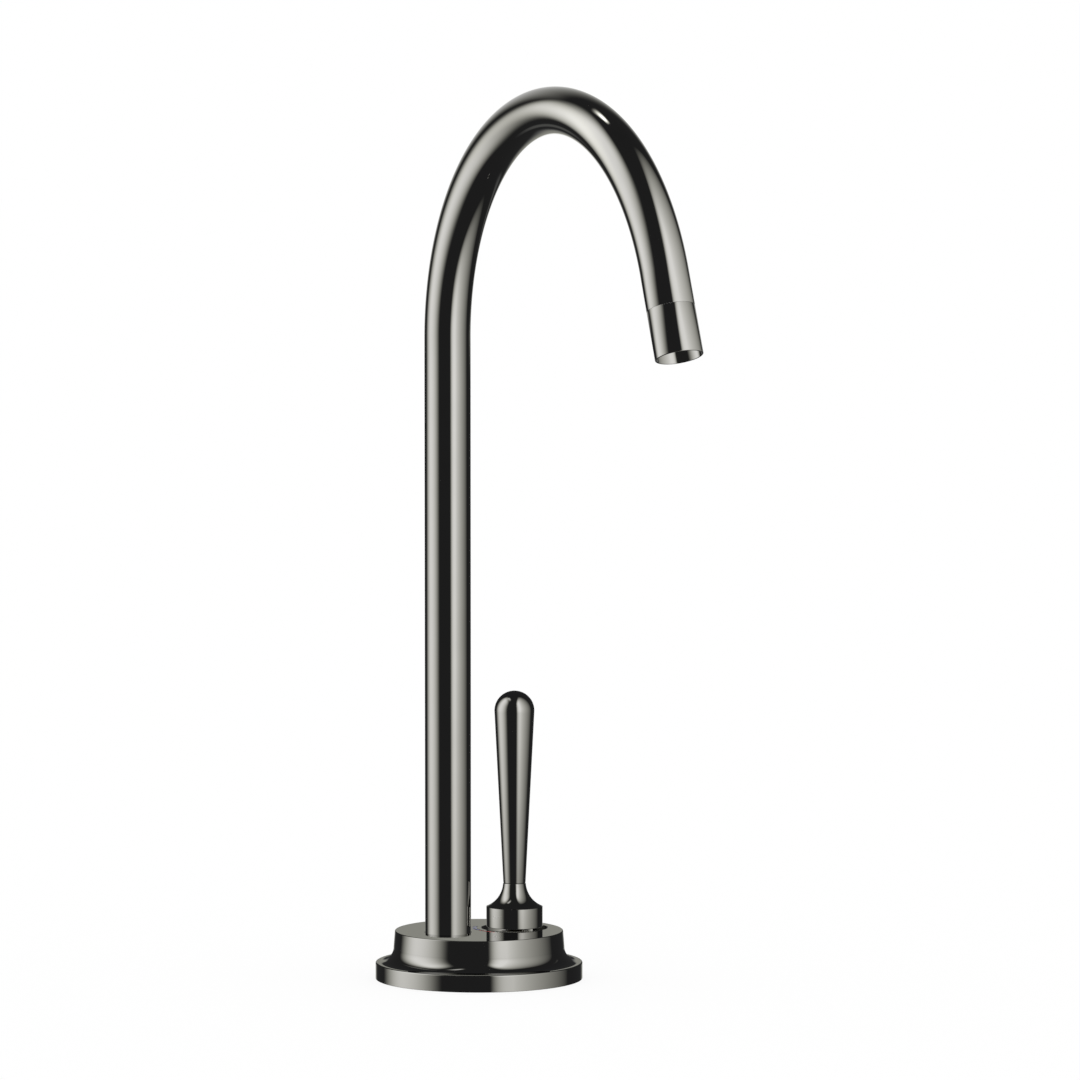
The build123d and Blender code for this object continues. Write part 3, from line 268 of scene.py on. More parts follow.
bpy.ops.mesh.select_all(action="SELECT")
bpy.ops.mesh.flip_normals()
bpy.ops.object.mode_set(mode="OBJECT")
shelf.rotation_euler = (0, 0, VIEW_TURN)
bpy.ops.object.transform_apply()
as_dark_as_room = {"Color": linear(COOL_WHITE), "Strength": ROOM_GLOW}
shelf.data.materials.append(one_sided("black_velvet_shade", "ShaderNodeEmission", as_dark_as_room))
only_in_mirrors(shelf)


# Worktop
# A plain white surface with the 35 mm tap hole. It keeps a faint soft shadow under the tap, is
# left out of the metal's reflections, and is clear from below, so that the fixing set shows.

HOLE_RADIUS = 17.5
FLOOR_RADIUS = 12000.0
FLOOR_OWN_WHITE = 0.85
bpy.ops.object.select_all(action="DESELECT")
bpy.ops.mesh.primitive_circle_add(vertices=96, radius=HOLE_RADIUS * MM)
floor = bpy.context.object
floor.name = "worktop"
bpy.ops.object.mode_set(mode="EDIT")
reached = HOLE_RADIUS
for reach in (60.0, 400.0, FLOOR_RADIUS):
    bpy.ops.mesh.extrude_region_move(TRANSFORM_OT_translate={"value": (0, 0, 0)})
    grow = reach / reached
    bpy.ops.transform.resize(value=(grow, grow, 1), center_override=(0, 0, 0))
    reached = reach
bpy.ops.mesh.select_all(action="SELECT")
bpy.ops.mesh.normals_make_consistent(inside=False)
bpy.ops.object.mode_set(mode="OBJECT")
if floor.data.polygons[0].normal.z < 0:
    bpy.ops.object.mode_set(mode="EDIT")
    bpy.ops.mesh.flip_normals()
    bpy.ops.object.mode_set(mode="OBJECT")
floor.visible_glossy = False

white_top = bpy.data.materials.new("white_worktop")
white_top.use_nodes = True
tree = white_top.node_tree
tree.nodes.clear()
matt = add_node(tree, "ShaderNodeBsdfDiffuse", {"Color": linear("ffffff")}, {})
even = add_node(tree, "ShaderNodeEmission", {"Color": linear("ffffff"), "Strength": 1}, {})
seen_by = add_node(tree, "ShaderNodeLightPath", {}, {})
share = add_node(tree, "ShaderNodeMath", {"operation": "MULTIPLY", 1: FLOOR_OWN_WHITE},
                 {0: seen_by.outputs["Is Camera Ray"]})
surface = add_node(tree, "ShaderNodeMixShader", {},
                   {0: share.outputs[0], 1: matt.outputs[0], 2: even.outputs[0]})
clear = add_node(tree, "ShaderNodeBsdfTransparent", {}, {})
facing = add_node(tree, "ShaderNodeNewGeometry", {}, {})
surface = add_node(tree, "ShaderNodeMixShader", {},
                   {0: facing.outputs["Backfacing"], 1: surface.outputs[0], 2: clear.outputs[0]})
add_node(tree, "ShaderNodeOutputMaterial", {}, {"Surface": surface.outputs[0]})
floor.data.materials.append(white_top)


# Base shell
# Brass turned in one piece: a flange with a round hollow above it and a low drum with a flat top,
# polished and plated in black chrome. It is bored for the spout and the lever, grooved for the
# two enamel marks, and screwed to the valve body from below.

def rings_on_arc(start, middle, end, steps):
    """Ring sizes (radius, height) along the round curve through three points of an outline."""
    first, second = Vector(middle) - Vector(start), Vector(end) - Vector(start)
    shift = Vector((second.y * first.length_squared - first.y * second.length_squared,
                    first.x * second.length_squared - second.x * first.length_squared))
    centre = Vector(start) + shift / (2 * first.cross(second))
    arm, halfway, last = Vector(start) - centre, Vector(middle) - centre, Vector(end) - centre
    turn = arm.angle_signed(halfway) + halfway.angle_signed(last)
    return [tuple(centre + Matrix.Rotation(-turn * i / steps, 2) @ arm) for i in range(steps + 1)]


def rounded_corner(corner, radius, arrive, leave, steps):
    """Ring sizes round a corner of an outline, between the directions it is met and left in."""
    corner, arrive, leave = Vector(corner), Vector(arrive), Vector(leave)
    middle = corner + (leave - arrive) * radius * (1 - math.sqrt(0.5))
    return rings_on_arc(corner - arrive * radius, middle, corner + leave * radius, steps)


def turned(name, rings, around=0.0, sides=192, closed=False):
    """Draws a circle out and scales it from ring to ring of (radius, height), as on a lathe."""
    bpy.ops.object.select_all(action="DESELECT")
    radius, height = rings[0]
    bpy.ops.mesh.primitive_circle_add(vertices=sides, radius=radius * MM,
                                      location=(around * MM, 0, height * MM))
    piece = bpy.context.object
    piece.name = piece.data.name = name
    bpy.ops.object.transform_apply()
    bpy.ops.object.mode_set(mode="EDIT")
    for next_radius, next_height in rings[1:]:
        step = (0, 0, (next_height - height) * MM)
        bpy.ops.mesh.extrude_region_move(TRANSFORM_OT_translate={"value": step})
        if next_radius == 0:
            bpy.ops.mesh.merge(type="CENTER")
            break
        grow = next_radius / radius
        bpy.ops.transform.resize(value=(grow, grow, 1),
                                 center_override=(around * MM, 0, next_height * MM))
        radius, height = next_radius, next_height
    else:
        if not closed:
            bpy.ops.mesh.edge_face_add()
    if closed:
        bpy.ops.mesh.select_all(action="SELECT")
        bpy.ops.mesh.remove_doubles(threshold=0.002 * MM)
    else:
        bpy.ops.mesh.select_all(action="DESELECT")
        bpy.ops.mesh.select_non_manifold()
        bpy.ops.mesh.edge_face_add()
    bpy.ops.mesh.select_all(action="SELECT")
    bpy.ops.mesh.normals_make_consistent(inside=False)
    bpy.ops.object.mode_set(mode="OBJECT")
    bpy.ops.object.shade_smooth_by_angle(angle=math.radians(30))
    return piece


def cut_away(piece, tools):
    """Takes the cutting shapes out of a piece and removes them."""
    for tool in tools:
        bpy.ops.object.select_all(action="DESELECT")
        piece.select_set(True)
        bpy.context.view_layer.objects.active = piece
        bpy.ops.object.modifier_add(type="BOOLEAN")
        cut = piece.modifiers[-1]
        cut.operation = "DIFFERENCE"
        cut.solver = "EXACT"
        cut.object = tool
        bpy.ops.object.modifier_apply(modifier=cut.name)
        bpy.data.objects.remove(tool)


def drill(x, y, radius, bottom, top, sides=128):
    """A round cutter between two heights."""
    bpy.ops.object.select_all(action="DESELECT")
    bpy.ops.mesh.primitive_cylinder_add(vertices=sides, radius=radius * MM, depth=(top - bottom) * MM,
                                        location=(x * MM, y * MM, (top + bottom) / 2 * MM))
    bpy.ops.object.transform_apply()
    return bpy.context.object


def pick_edges(piece, wanted):
    """Selects the edges whose two ends both pass a test of their place in mm, in edit mode."""
    bpy.ops.object.select_all(action="DESELECT")
    piece.select_set(True)
    bpy.context.view_layer.objects.active = piece
    bpy.ops.object.mode_set(mode="EDIT")
    bpy.ops.mesh.select_mode(type="EDGE")
    bpy.ops.mesh.select_all(action="DESELECT")
    bpy.ops.object.mode_set(mode="OBJECT")
    chosen_points = [wanted(point.co / MM) for point in piece.data.vertices]
    for edge in piece.data.edges:
        edge.select = all(chosen_points[i] for i in edge.vertices)
    bpy.ops.object.mode_set(mode="EDIT")


FLANGE_X = -15.8
FLANGE_RADIUS = 40.7
FLANGE_TOP = 6.6
COVE_RADIUS = 5.8
DRUM_RADIUS = 33.1
DRUM_FOOT_RADIUS = 33.6
BASE_TOP = 19.0
ROOF = 15.6
CAVITY_RADIUS = 31.2
SEAL_GROOVE = (35.2, 37.8, 1.6)
LEVER_HOLE = 13.1
LEVER_HOLE_EDGE = 0.2
SPOUT_HOLE = 9.25
SPOUT_HOLE_EDGE = 0.12
FLANGE_LOWER_EDGE = 0.15
FLANGE_UPPER_EDGE = 0.5
DRUM_EDGE = 0.35
SCREW_CIRCLE = 25.2
SCREW_HOLE = 1.5
SCREW_HOLE_TOP = 18.0

shell_rings = [(CAVITY_RADIUS, ROOF), (CAVITY_RADIUS, 0.0), (SEAL_GROOVE[0], 0.0)]
shell_rings += [(SEAL_GROOVE[0], SEAL_GROOVE[2]), (SEAL_GROOVE[1], SEAL_GROOVE[2]), (SEAL_GROOVE[1], 0.0)]
shell_rings += rounded_corner((FLANGE_RADIUS, 0), FLANGE_LOWER_EDGE, (1, 0), (0, 1), 4)
shell_rings += rounded_corner((FLANGE_RADIUS, FLANGE_TOP), FLANGE_UPPER_EDGE, (0, 1), (-1, 0), 10)
shell_rings += rounded_corner((DRUM_FOOT_RADIUS, FLANGE_TOP), COVE_RADIUS, (-1, 0), (0, 1), 40)
shell_rings += rounded_corner((DRUM_RADIUS, BASE_TOP), DRUM_EDGE, (0, 1), (-1, 0), 8)
shell = turned("base_drum", shell_rings, around=FLANGE_X, sides=256)
spout_bore = drill(RISER_X, 0, SPOUT_HOLE, -1, BASE_TOP + 1)
lever_bore = drill(0, 0, LEVER_HOLE, -1, BASE_TOP + 1)
cutters = [spout_bore, lever_bore]
for degrees in (60, 120, 240, 300):
    turn = math.radians(degrees)
    cutters.append(drill(FLANGE_X + SCREW_CIRCLE * math.cos(turn), SCREW_CIRCLE * math.sin(turn),
                         SCREW_HOLE, 0, SCREW_HOLE_TOP, 24))

MARK_RADIUS = 15.7
MARK_WIDTH = 1.8
MARK_DEPTH = 0.3
MARKS = ((138.0, 179.4), (180.6, 212.0))
for first, last in MARKS:
    bpy.ops.object.select_all(action="DESELECT")
    turn = math.radians(first)
    place = (MARK_RADIUS * math.cos(turn) * MM, MARK_RADIUS * math.sin(turn) * MM, BASE_TOP * MM)
    bpy.ops.mesh.primitive_plane_add(size=1, location=place, rotation=(math.radians(90), 0, turn))
    slot_tool = bpy.context.object
    slot_tool.scale = (MARK_WIDTH * MM, 2 * MARK_DEPTH * MM, 1)
    bpy.ops.object.transform_apply()
    bpy.ops.object.mode_set(mode="EDIT")
    bpy.ops.mesh.spin(steps=24, angle=math.radians(first - last), center=(0, 0, 0), axis=(0, 0, 1))
    bpy.ops.mesh.select_all(action="SELECT")
    bpy.ops.mesh.remove_doubles(threshold=0.002 * MM)
    bpy.ops.mesh.normals_make_consistent(inside=False)
    bpy.ops.object.mode_set(mode="OBJECT")
    cutters.append(slot_tool)
cut_away(shell, cutters)
pick_edges(shell, lambda p: abs(p.z - BASE_TOP) < 0.01
           and abs(math.hypot(p.x, p.y) - LEVER_HOLE) < 0.02)
bpy.ops.mesh.bevel(offset=LEVER_HOLE_EDGE * MM, segments=3)
bpy.ops.object.mode_set(mode="OBJECT")
pick_edges(shell, lambda p: abs(p.z - BASE_TOP) < 0.01
           and abs(math.hypot(p.x - RISER_X, p.y) - SPOUT_HOLE) < 0.02)
bpy.ops.mesh.bevel(offset=SPOUT_HOLE_EDGE * MM, segments=2)
bpy.ops.object.mode_set(mode="OBJECT")
bpy.ops.object.shade_smooth_by_angle(angle=math.radians(30))
bpy.ops.object.modifier_add(type="WEIGHTED_NORMAL")
shell.modifiers[-1].keep_sharp = True
shell.modifiers[-1].weight = 100
bpy.ops.object.modifier_apply(modifier=shell.modifiers[-1].name)

# Black chrome is a dark warm-grey mirror: it shows the lights as soft pale bands and the room as
# near black. Hand polishing leaves patches about 20 mm wide where the mirror is a touch hazier.
black_chrome = bpy.data.materials.new("polished_black_chrome")
black_chrome.use_nodes = True
tree = black_chrome.node_tree
tree.nodes.clear()
place = add_node(tree, "ShaderNodeTexCoord", {}, {})
haze = add_node(tree, "ShaderNodeTexNoise", {"Scale": 1 / (20 * MM), "Detail": 3.0},
                {"Vector": place.outputs["Object"]})
polish = add_node(tree, "ShaderNodeMapRange",
                  {"From Min": 0.35, "From Max": 0.65, "To Min": 0.025, "To Max": 0.045},
                  {"Value": haze.outputs["Fac"]})
tone = add_node(tree, "ShaderNodeValToRGB", {}, {"Fac": haze.outputs["Fac"]})
tone.color_ramp.elements[0].position = 0.3
tone.color_ramp.elements[0].color = linear("9d9c99")
tone.color_ramp.elements[1].position = 0.7
tone.color_ramp.elements[1].color = linear("a09f9c")
skin = add_node(tree, "ShaderNodeBsdfPrincipled", {"Metallic": 1.0},
                {"Base Color": tone.outputs["Color"], "Roughness": polish.outputs[0]})
add_node(tree, "ShaderNodeOutputMaterial", {}, {"Surface": skin.outputs[0]})
shell.data.materials.append(black_chrome)
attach(shell, "base")
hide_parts("base_shell")

# The tap's pieces show the lights and not one another, and only the flat top mirrors the riser's
# foot and the lever's hub. So most pieces are kept out of mirrors, here and below.
shell.visible_glossy = False

# The flange's flat top shows a painted reflection of the drum's wall, a little, from a dull ring just
# inside that wall. The ring is seen only from outside.
DRUM_SHADE_RADIUS = 28.0
DRUM_SHADE_FOOT = 8.7
DRUM_SHADE_HEIGHT = 10.0
bpy.ops.object.select_all(action="DESELECT")
bpy.ops.mesh.primitive_cylinder_add(
    vertices=128, radius=DRUM_SHADE_RADIUS * MM, depth=DRUM_SHADE_HEIGHT * MM, end_fill_type="NOTHING",
    location=(FLANGE_X * MM, 0, (DRUM_SHADE_FOOT + DRUM_SHADE_HEIGHT / 2) * MM))
ring_shade = bpy.context.object
ring_shade.name = "shade_in_drum"
bpy.ops.object.transform_apply()
dull_mirror = {"Color": linear("6e6e6c"), "Roughness": 0.15}
ring_shade.data.materials.append(one_sided("painted_drum_wall_reflection", "ShaderNodeBsdfGlossy", dull_mirror))
only_in_mirrors(ring_shade)


# Temperature marks
# Two short arcs of glass enamel, blue and red, melted into grooves in the top of the base. The
# enamel is flush with the top, with rounded edges and a slightly uneven skin like orange peel.

def finish_nodes(material, *names):
    """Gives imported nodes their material. Polished pieces nearby don't mirror them."""
    for name in names:
        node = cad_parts[name]
        node.material_slots[0].material = material
        node.visible_glossy = False


# Enamel is a coloured glass: deep colour with a clear glossy skin, slightly uneven.
MARK_SLACK = 0.02
MARK_EDGE = 0.08
mark_facts = (("cold_mark", MARKS[0], "blue_glass_enamel", "34388a", "4448a0"),
              ("hot_mark", MARKS[1], "red_glass_enamel", "b02a2a", "c43a34"))
for node_name, (first, last), finish_name, deep, light in mark_facts:
    bpy.ops.object.select_all(action="DESELECT")
    turn = math.radians(first)
    middle = BASE_TOP - MARK_DEPTH / 2
    place = (MARK_RADIUS * math.cos(turn) * MM, MARK_RADIUS * math.sin(turn) * MM, middle * MM)
    bpy.ops.mesh.primitive_plane_add(size=1, location=place, rotation=(math.radians(90), 0, turn))
    mark = bpy.context.object
    mark.name = mark.data.name = finish_name.replace("glass_enamel", "mark")
    mark.scale = ((MARK_WIDTH - MARK_SLACK) * MM, (MARK_DEPTH - MARK_SLACK) * MM, 1)
    bpy.ops.object.transform_apply()
    bpy.ops.object.mode_set(mode="EDIT")
    bpy.ops.mesh.spin(steps=36, angle=math.radians(first - last), center=(0, 0, 0), axis=(0, 0, 1))
    bpy.ops.mesh.select_all(action="SELECT")
    bpy.ops.mesh.remove_doubles(threshold=0.002 * MM)
    bpy.ops.mesh.fill_holes(sides=4)
    bpy.ops.mesh.normals_make_consistent(inside=False)
    bpy.ops.object.mode_set(mode="OBJECT")
    pick_edges(mark, lambda p: p.z > BASE_TOP - 0.05)
    bpy.ops.mesh.region_to_loop()
    bpy.ops.mesh.bevel(offset=MARK_EDGE * MM, segments=2)
    bpy.ops.object.mode_set(mode="OBJECT")
    bpy.ops.object.shade_smooth_by_angle(angle=math.radians(40))
    enamel = bpy.data.materials.new(finish_name)
    enamel.use_nodes = True
    tree = enamel.node_tree
    tree.nodes.clear()
    place = add_node(tree, "ShaderNodeTexCoord", {}, {})
    depth = add_node(tree, "ShaderNodeTexNoise", {"Scale": 1 / (0.7 * MM), "Detail": 2.0},
                     {"Vector": place.outputs["Object"]})
    colour = add_node(tree, "ShaderNodeValToRGB", {}, {"Fac": depth.outputs["Fac"]})
    colour.color_ramp.elements[0].position = 0.3
    colour.color_ramp.elements[0].color = linear(deep)
    colour.color_ramp.elements[1].position = 0.7
    colour.color_ramp.elements[1].color = linear(light)
    peel = add_node(tree, "ShaderNodeBump", {"Strength": 0.12, "Distance": 0.02 * MM},
                    {"Height": depth.outputs["Fac"]})
    skin = add_node(tree, "ShaderNodeBsdfPrincipled",
                    {"Roughness": 0.12, "IOR": 1.55, "Coat Weight": 0.6, "Coat Roughness": 0.05},
                    {"Base Color": colour.outputs["Color"], "Normal": peel.outputs["Normal"]})
    add_node(tree, "ShaderNodeOutputMaterial", {}, {"Surface": skin.outputs[0]})
    mark.data.materials.append(enamel)
    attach(mark, "base")
    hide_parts(node_name)
    mark.visible_glossy = False


# Deck seal and the other rubber rings
# Moulded EPDM: the flat ring that seals the flange to the worktop, and the squeezed rings of the
# spout's foot, aerator, ports, cartridge, rotor and spindle, and the clamp's gasket.

# EPDM is nearly black and dull, with a faint grey bloom and the fine grain of its mould.
rubber = bpy.data.materials.new("moulded_epdm_rubber")
rubber.use_nodes = True
tree = rubber.node_tree
tree.nodes.clear()
place = add_node(tree, "ShaderNodeTexCoord", {}, {})
bloom = add_node(tree, "ShaderNodeTexNoise", {"Scale": 1 / (6 * MM), "Detail": 4.0},
                 {"Vector": place.outputs["Object"]})
colour = add_node(tree, "ShaderNodeValToRGB", {}, {"Fac": bloom.outputs["Fac"]})
colour.color_ramp.elements[0].position = 0.35
colour.color_ramp.elements[0].color = linear("1c1c1d")
colour.color_ramp.elements[1].position = 0.75
colour.color_ramp.elements[1].color = linear("2b2b2c")
dullness = add_node(tree, "ShaderNodeMapRange", {"To Min": 0.5, "To Max": 0.72},
                    {"Value": bloom.outputs["Fac"]})
grain = add_node(tree, "ShaderNodeTexNoise", {"Scale": 1 / (0.25 * MM), "Detail": 3.0},
                 {"Vector": place.outputs["Object"]})
texture = add_node(tree, "ShaderNodeBump", {"Strength": 0.35, "Distance": 0.03 * MM},
                   {"Height": grain.outputs["Fac"]})
skin = add_node(tree, "ShaderNodeBsdfPrincipled", {"IOR": 1.5},
                {"Base Color": colour.outputs["Color"], "Roughness": dullness.outputs[0],
                 "Normal": texture.outputs["Normal"]})
add_node(tree, "ShaderNodeOutputMaterial", {}, {"Surface": skin.outputs[0]})
finish_nodes(rubber, "deck_seal", "spout_foot_seal", "aerator_seal", "port_seals", "housing_seal",
             "rotor_seal", "spindle_seal", "clamp_gasket")


# Valve body
# One brass casting: the cartridge's chamber, the passage to the spout's socket, four pillars for the
# shell's screws, and the shank that goes down through the worktop to the hose inlets.

def painted_shade_in_nooks(tree, value, start, full):
    """Painted shade: a pattern's value that falls to nothing in nooks, within 20 mm of another surface.
    """
    nooks = add_node(tree, "ShaderNodeAmbientOcclusion", {"samples": 8, "Distance": 20 * MM}, {})
    lit = faded(tree, [(nooks.outputs["AO"], start, full, EVEN)])
    return add_node(tree, "ShaderNodeMath", {"operation": "MULTIPLY"}, {0: value, 1: lit.outputs[0]})


# Cast brass is a dull yellow with the small pits and lumps of the sand mould, and painted shade
# makes its colour black in nooks, where no light gets in.
cast_brass = bpy.data.materials.new("sand_cast_brass")
cast_brass.use_nodes = True
tree = cast_brass.node_tree
tree.nodes.clear()
place = add_node(tree, "ShaderNodeTexCoord", {}, {})
lumps = add_node(tree, "ShaderNodeTexNoise", {"Scale": 1 / (1.2 * MM), "Detail": 6.0, "Roughness": 0.6},
                 {"Vector": place.outputs["Object"]})
stain = add_node(tree, "ShaderNodeTexNoise", {"Scale": 1 / (9 * MM), "Detail": 3.0},
                 {"Vector": place.outputs["Object"]})
mottle = add_node(tree, "ShaderNodeMath", {"operation": "MULTIPLY_ADD", 1: 0.4},
                  {0: lumps.outputs["Fac"], 2: stain.outputs["Fac"]})
pattern_with_painted_shade = painted_shade_in_nooks(tree, mottle.outputs[0], 0.35, 0.75)
colour = add_node(tree, "ShaderNodeValToRGB", {}, {"Fac": pattern_with_painted_shade.outputs[0]})
colour.color_ramp.elements[0].position = 0.45
colour.color_ramp.elements[0].color = linear("9a7a3f")
colour.color_ramp.elements[1].position = 0.95
colour.color_ramp.elements[1].color = linear("cbab68")
colour.color_ramp.elements.new(0.02).color = linear("0c0a06")
dullness = add_node(tree, "ShaderNodeMapRange", {"To Min": 0.34, "To Max": 0.6},
                    {"Value": mottle.outputs[0]})
pits = add_node(tree, "ShaderNodeBump", {"Strength": 0.5, "Distance": 0.08 * MM},
                {"Height": lumps.outputs["Fac"]})
skin = add_node(tree, "ShaderNodeBsdfPrincipled", {"Metallic": 1.0},
                {"Base Color": colour.outputs["Color"], "Roughness": dullness.outputs[0],
                 "Normal": pits.outputs["Normal"]})
add_node(tree, "ShaderNodeOutputMaterial", {}, {"Surface": skin.outputs[0]})
finish_nodes(cast_brass, "valve_body")


# Spout foot
# A brass bush brazed into the tube's lower end, turned on a lathe, with a groove for its seal and
# one for the open spring ring that keeps the spout in. It turns in the base on a plastic bearing.

# Turned brass is bright yellow, with tool rings up its axis. Real ones are a tenth of a millimetre
# apart. These are coarser, so that they show.
turned_brass = bpy.data.materials.new("lathe_turned_brass")
turned_brass.use_nodes = True
tree = turned_brass.node_tree
tree.nodes.clear()
place = add_node(tree, "ShaderNodeTexCoord", {}, {})
rings = add_node(tree, "ShaderNodeTexWave",
                 {"wave_type": "BANDS", "bands_direction": "Z", "Scale": 1 / (2.0 * MM),
                  "Distortion": 1.5, "Detail": 2.0}, {"Vector": place.outputs["Object"]})
haze = add_node(tree, "ShaderNodeTexNoise", {"Scale": 1 / (5 * MM), "Detail": 2.0},
                {"Vector": place.outputs["Object"]})
# Painted shade: the colour goes black in nooks, where another surface is within 20 mm.
pattern_with_painted_shade = painted_shade_in_nooks(tree, haze.outputs["Fac"], 0.35, 0.75)
colour = add_node(tree, "ShaderNodeValToRGB", {}, {"Fac": pattern_with_painted_shade.outputs[0]})
colour.color_ramp.elements[0].position = 0.3
colour.color_ramp.elements[0].color = linear("c7a35a")
colour.color_ramp.elements[1].position = 0.7
colour.color_ramp.elements[1].color = linear("dcbc78")
colour.color_ramp.elements.new(0.02).color = linear("0c0a06")
dullness = add_node(tree, "ShaderNodeMapRange", {"To Min": 0.2, "To Max": 0.34},
                    {"Value": rings.outputs["Fac"]})
tooling = add_node(tree, "ShaderNodeBump", {"Strength": 0.25, "Distance": 0.01 * MM},
                   {"Height": rings.outputs["Fac"]})
skin = add_node(tree, "ShaderNodeBsdfPrincipled", {"Metallic": 1.0},
                {"Base Color": colour.outputs["Color"], "Roughness": dullness.outputs[0],
                 "Normal": tooling.outputs["Normal"]})
add_node(tree, "ShaderNodeOutputMaterial", {}, {"Surface": skin.outputs[0]})
finish_nodes(turned_brass, "spout_foot")

# Stainless steel is a cool grey, drawn or rolled, with fine scratches along its run.
stainless = bpy.data.materials.new("drawn_stainless_steel")
stainless.use_nodes = True
tree = stainless.node_tree
tree.nodes.clear()
place = add_node(tree, "ShaderNodeTexCoord", {}, {})
long_way = add_node(tree, "ShaderNodeMapping", {"Scale": (1.0, 1.0, 0.08)},
                    {"Vector": place.outputs["Object"]})
scratches = add_node(tree, "ShaderNodeTexNoise", {"Scale": 1 / (0.2 * MM), "Detail": 4.0},
                     {"Vector": long_way.outputs["Vector"]})
colour = add_node(tree, "ShaderNodeValToRGB", {}, {"Fac": scratches.outputs["Fac"]})
colour.color_ramp.elements[0].position = 0.3
colour.color_ramp.elements[0].color = linear("b4b4b1")
colour.color_ramp.elements[1].position = 0.7
colour.color_ramp.elements[1].color = linear("cbcbc8")
dullness = add_node(tree, "ShaderNodeMapRange", {"To Min": 0.24, "To Max": 0.4},
                    {"Value": scratches.outputs["Fac"]})
lines = add_node(tree, "ShaderNodeBump", {"Strength": 0.2, "Distance": 0.01 * MM},
                 {"Height": scratches.outputs["Fac"]})
skin = add_node(tree, "ShaderNodeBsdfPrincipled", {"Metallic": 1.0},
                {"Base Color": colour.outputs["Color"], "Roughness": dullness.outputs[0],
                 "Normal": lines.outputs["Normal"]})
add_node(tree, "ShaderNodeOutputMaterial", {}, {"Surface": skin.outputs[0]})
finish_nodes(stainless, "spout_snap_ring", "shell_screws", "pivot_pin")

# Natural acetal is a milky satin plastic. Light goes a little way in, and the mould leaves a fine
# spark-eroded grain and faint flow lines.
acetal = bpy.data.materials.new("natural_acetal")
acetal.use_nodes = True
tree = acetal.node_tree
tree.nodes.clear()
place = add_node(tree, "ShaderNodeTexCoord", {}, {})
flow = add_node(tree, "ShaderNodeTexNoise", {"Scale": 1 / (4 * MM), "Detail": 2.0, "Distortion": 1.2},
                {"Vector": place.outputs["Object"]})
colour = add_node(tree, "ShaderNodeValToRGB", {}, {"Fac": flow.outputs["Fac"]})
colour.color_ramp.elements[0].position = 0.35
colour.color_ramp.elements[0].color = linear("dad9d2")
colour.color_ramp.elements[1].position = 0.7
colour.color_ramp.elements[1].color = linear("e6e5df")
grain = add_node(tree, "ShaderNodeTexNoise", {"Scale": 1 / (0.12 * MM), "Detail": 2.0},
                 {"Vector": place.outputs["Object"]})
satin = add_node(tree, "ShaderNodeMapRange", {"To Min": 0.36, "To Max": 0.5},
                 {"Value": grain.outputs["Fac"]})
texture = add_node(tree, "ShaderNodeBump", {"Strength": 0.2, "Distance": 0.01 * MM},
                   {"Height": grain.outputs["Fac"]})
skin = add_node(tree, "ShaderNodeBsdfPrincipled",
                {"IOR": 1.48, "Subsurface Weight": 0.25, "Subsurface Scale": 0.8 * MM,
                 "Subsurface Radius": (1.0, 0.95, 0.85)},
                {"Base Color": colour.outputs["Color"], "Roughness": satin.outputs[0],
                 "Normal": texture.outputs["Normal"]})
add_node(tree, "ShaderNodeOutputMaterial", {}, {"Surface": skin.outputs[0]})
finish_nodes(acetal, "spout_bearing")


# Spout tube
# One brass tube of 18 mm, bent over a round former to a swan neck and plated. Its wall is 1 mm.
# The foot turns in the base, and the cut end is faintly chamfered where the nozzle meets it.

TUBE_RADIUS = 9.0
TUBE_BORE = 8.0
TUBE_FOOT = 15.65
ARCH_FOOT = 252.9
ARCH_RADIUS = 89.0
ARCH_SWEEP = math.radians(160)
END_RUN = 14.0
JOINT_EDGE = 0.12
outlet_way = Vector((0, -math.sin(ARCH_SWEEP), math.cos(ARCH_SWEEP)))
arch_end = Vector((RISER_X, -ARCH_RADIUS * (1 - math.cos(ARCH_SWEEP)),
                   ARCH_FOOT + ARCH_RADIUS * math.sin(ARCH_SWEEP)))
joint = arch_end + END_RUN * outlet_way
bpy.ops.object.select_all(action="DESELECT")
bpy.ops.mesh.primitive_circle_add(vertices=160, radius=TUBE_RADIUS * MM,
                                  location=(RISER_X * MM, 0, TUBE_FOOT * MM))
tube = bpy.context.object
tube.name = tube.data.name = "swan_neck"
bpy.ops.object.transform_apply()
bpy.ops.object.mode_set(mode="EDIT")
bpy.ops.mesh.extrude_region_move(TRANSFORM_OT_translate={"value": (0, 0, 0)})
shrink = TUBE_BORE / TUBE_RADIUS
bpy.ops.transform.resize(value=(shrink, shrink, 1),
                         center_override=(RISER_X * MM, 0, TUBE_FOOT * MM))
bpy.ops.mesh.select_all(action="SELECT")
RISER_STEPS = 6
step = (0, 0, (ARCH_FOOT - TUBE_FOOT) / RISER_STEPS * MM)
for part_of_riser in range(RISER_STEPS):
    bpy.ops.mesh.extrude_region_move(TRANSFORM_OT_translate={"value": step})
bpy.ops.mesh.spin(steps=160, angle=-ARCH_SWEEP, axis=(1, 0, 0),
                  center=(RISER_X * MM, -ARCH_RADIUS * MM, ARCH_FOOT * MM))
bpy.ops.mesh.extrude_region_move(TRANSFORM_OT_translate={"value": outlet_way * END_RUN * MM})
bpy.ops.mesh.select_all(action="SELECT")
bpy.ops.mesh.remove_doubles(threshold=0.002 * MM)
bpy.ops.mesh.normals_make_consistent(inside=False)
bpy.ops.object.mode_set(mode="OBJECT")


def on_joint_rim(point):
    """Whether a point in mm lies on the tube's outer edge at the nozzle's joint."""
    offset = point - joint
    along = offset.dot(outlet_way)
    return abs(along) < 0.02 and abs(offset.length - TUBE_RADIUS) < 0.05


pick_edges(tube, on_joint_rim)
bpy.ops.mesh.bevel(offset=JOINT_EDGE * MM, segments=2)
bpy.ops.object.mode_set(mode="OBJECT")
bpy.ops.object.shade_smooth_by_angle(angle=math.radians(30))
tube.data.materials.append(black_chrome)
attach(tube, "spout")
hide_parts("spout_tube")
tube.visible_glossy = False
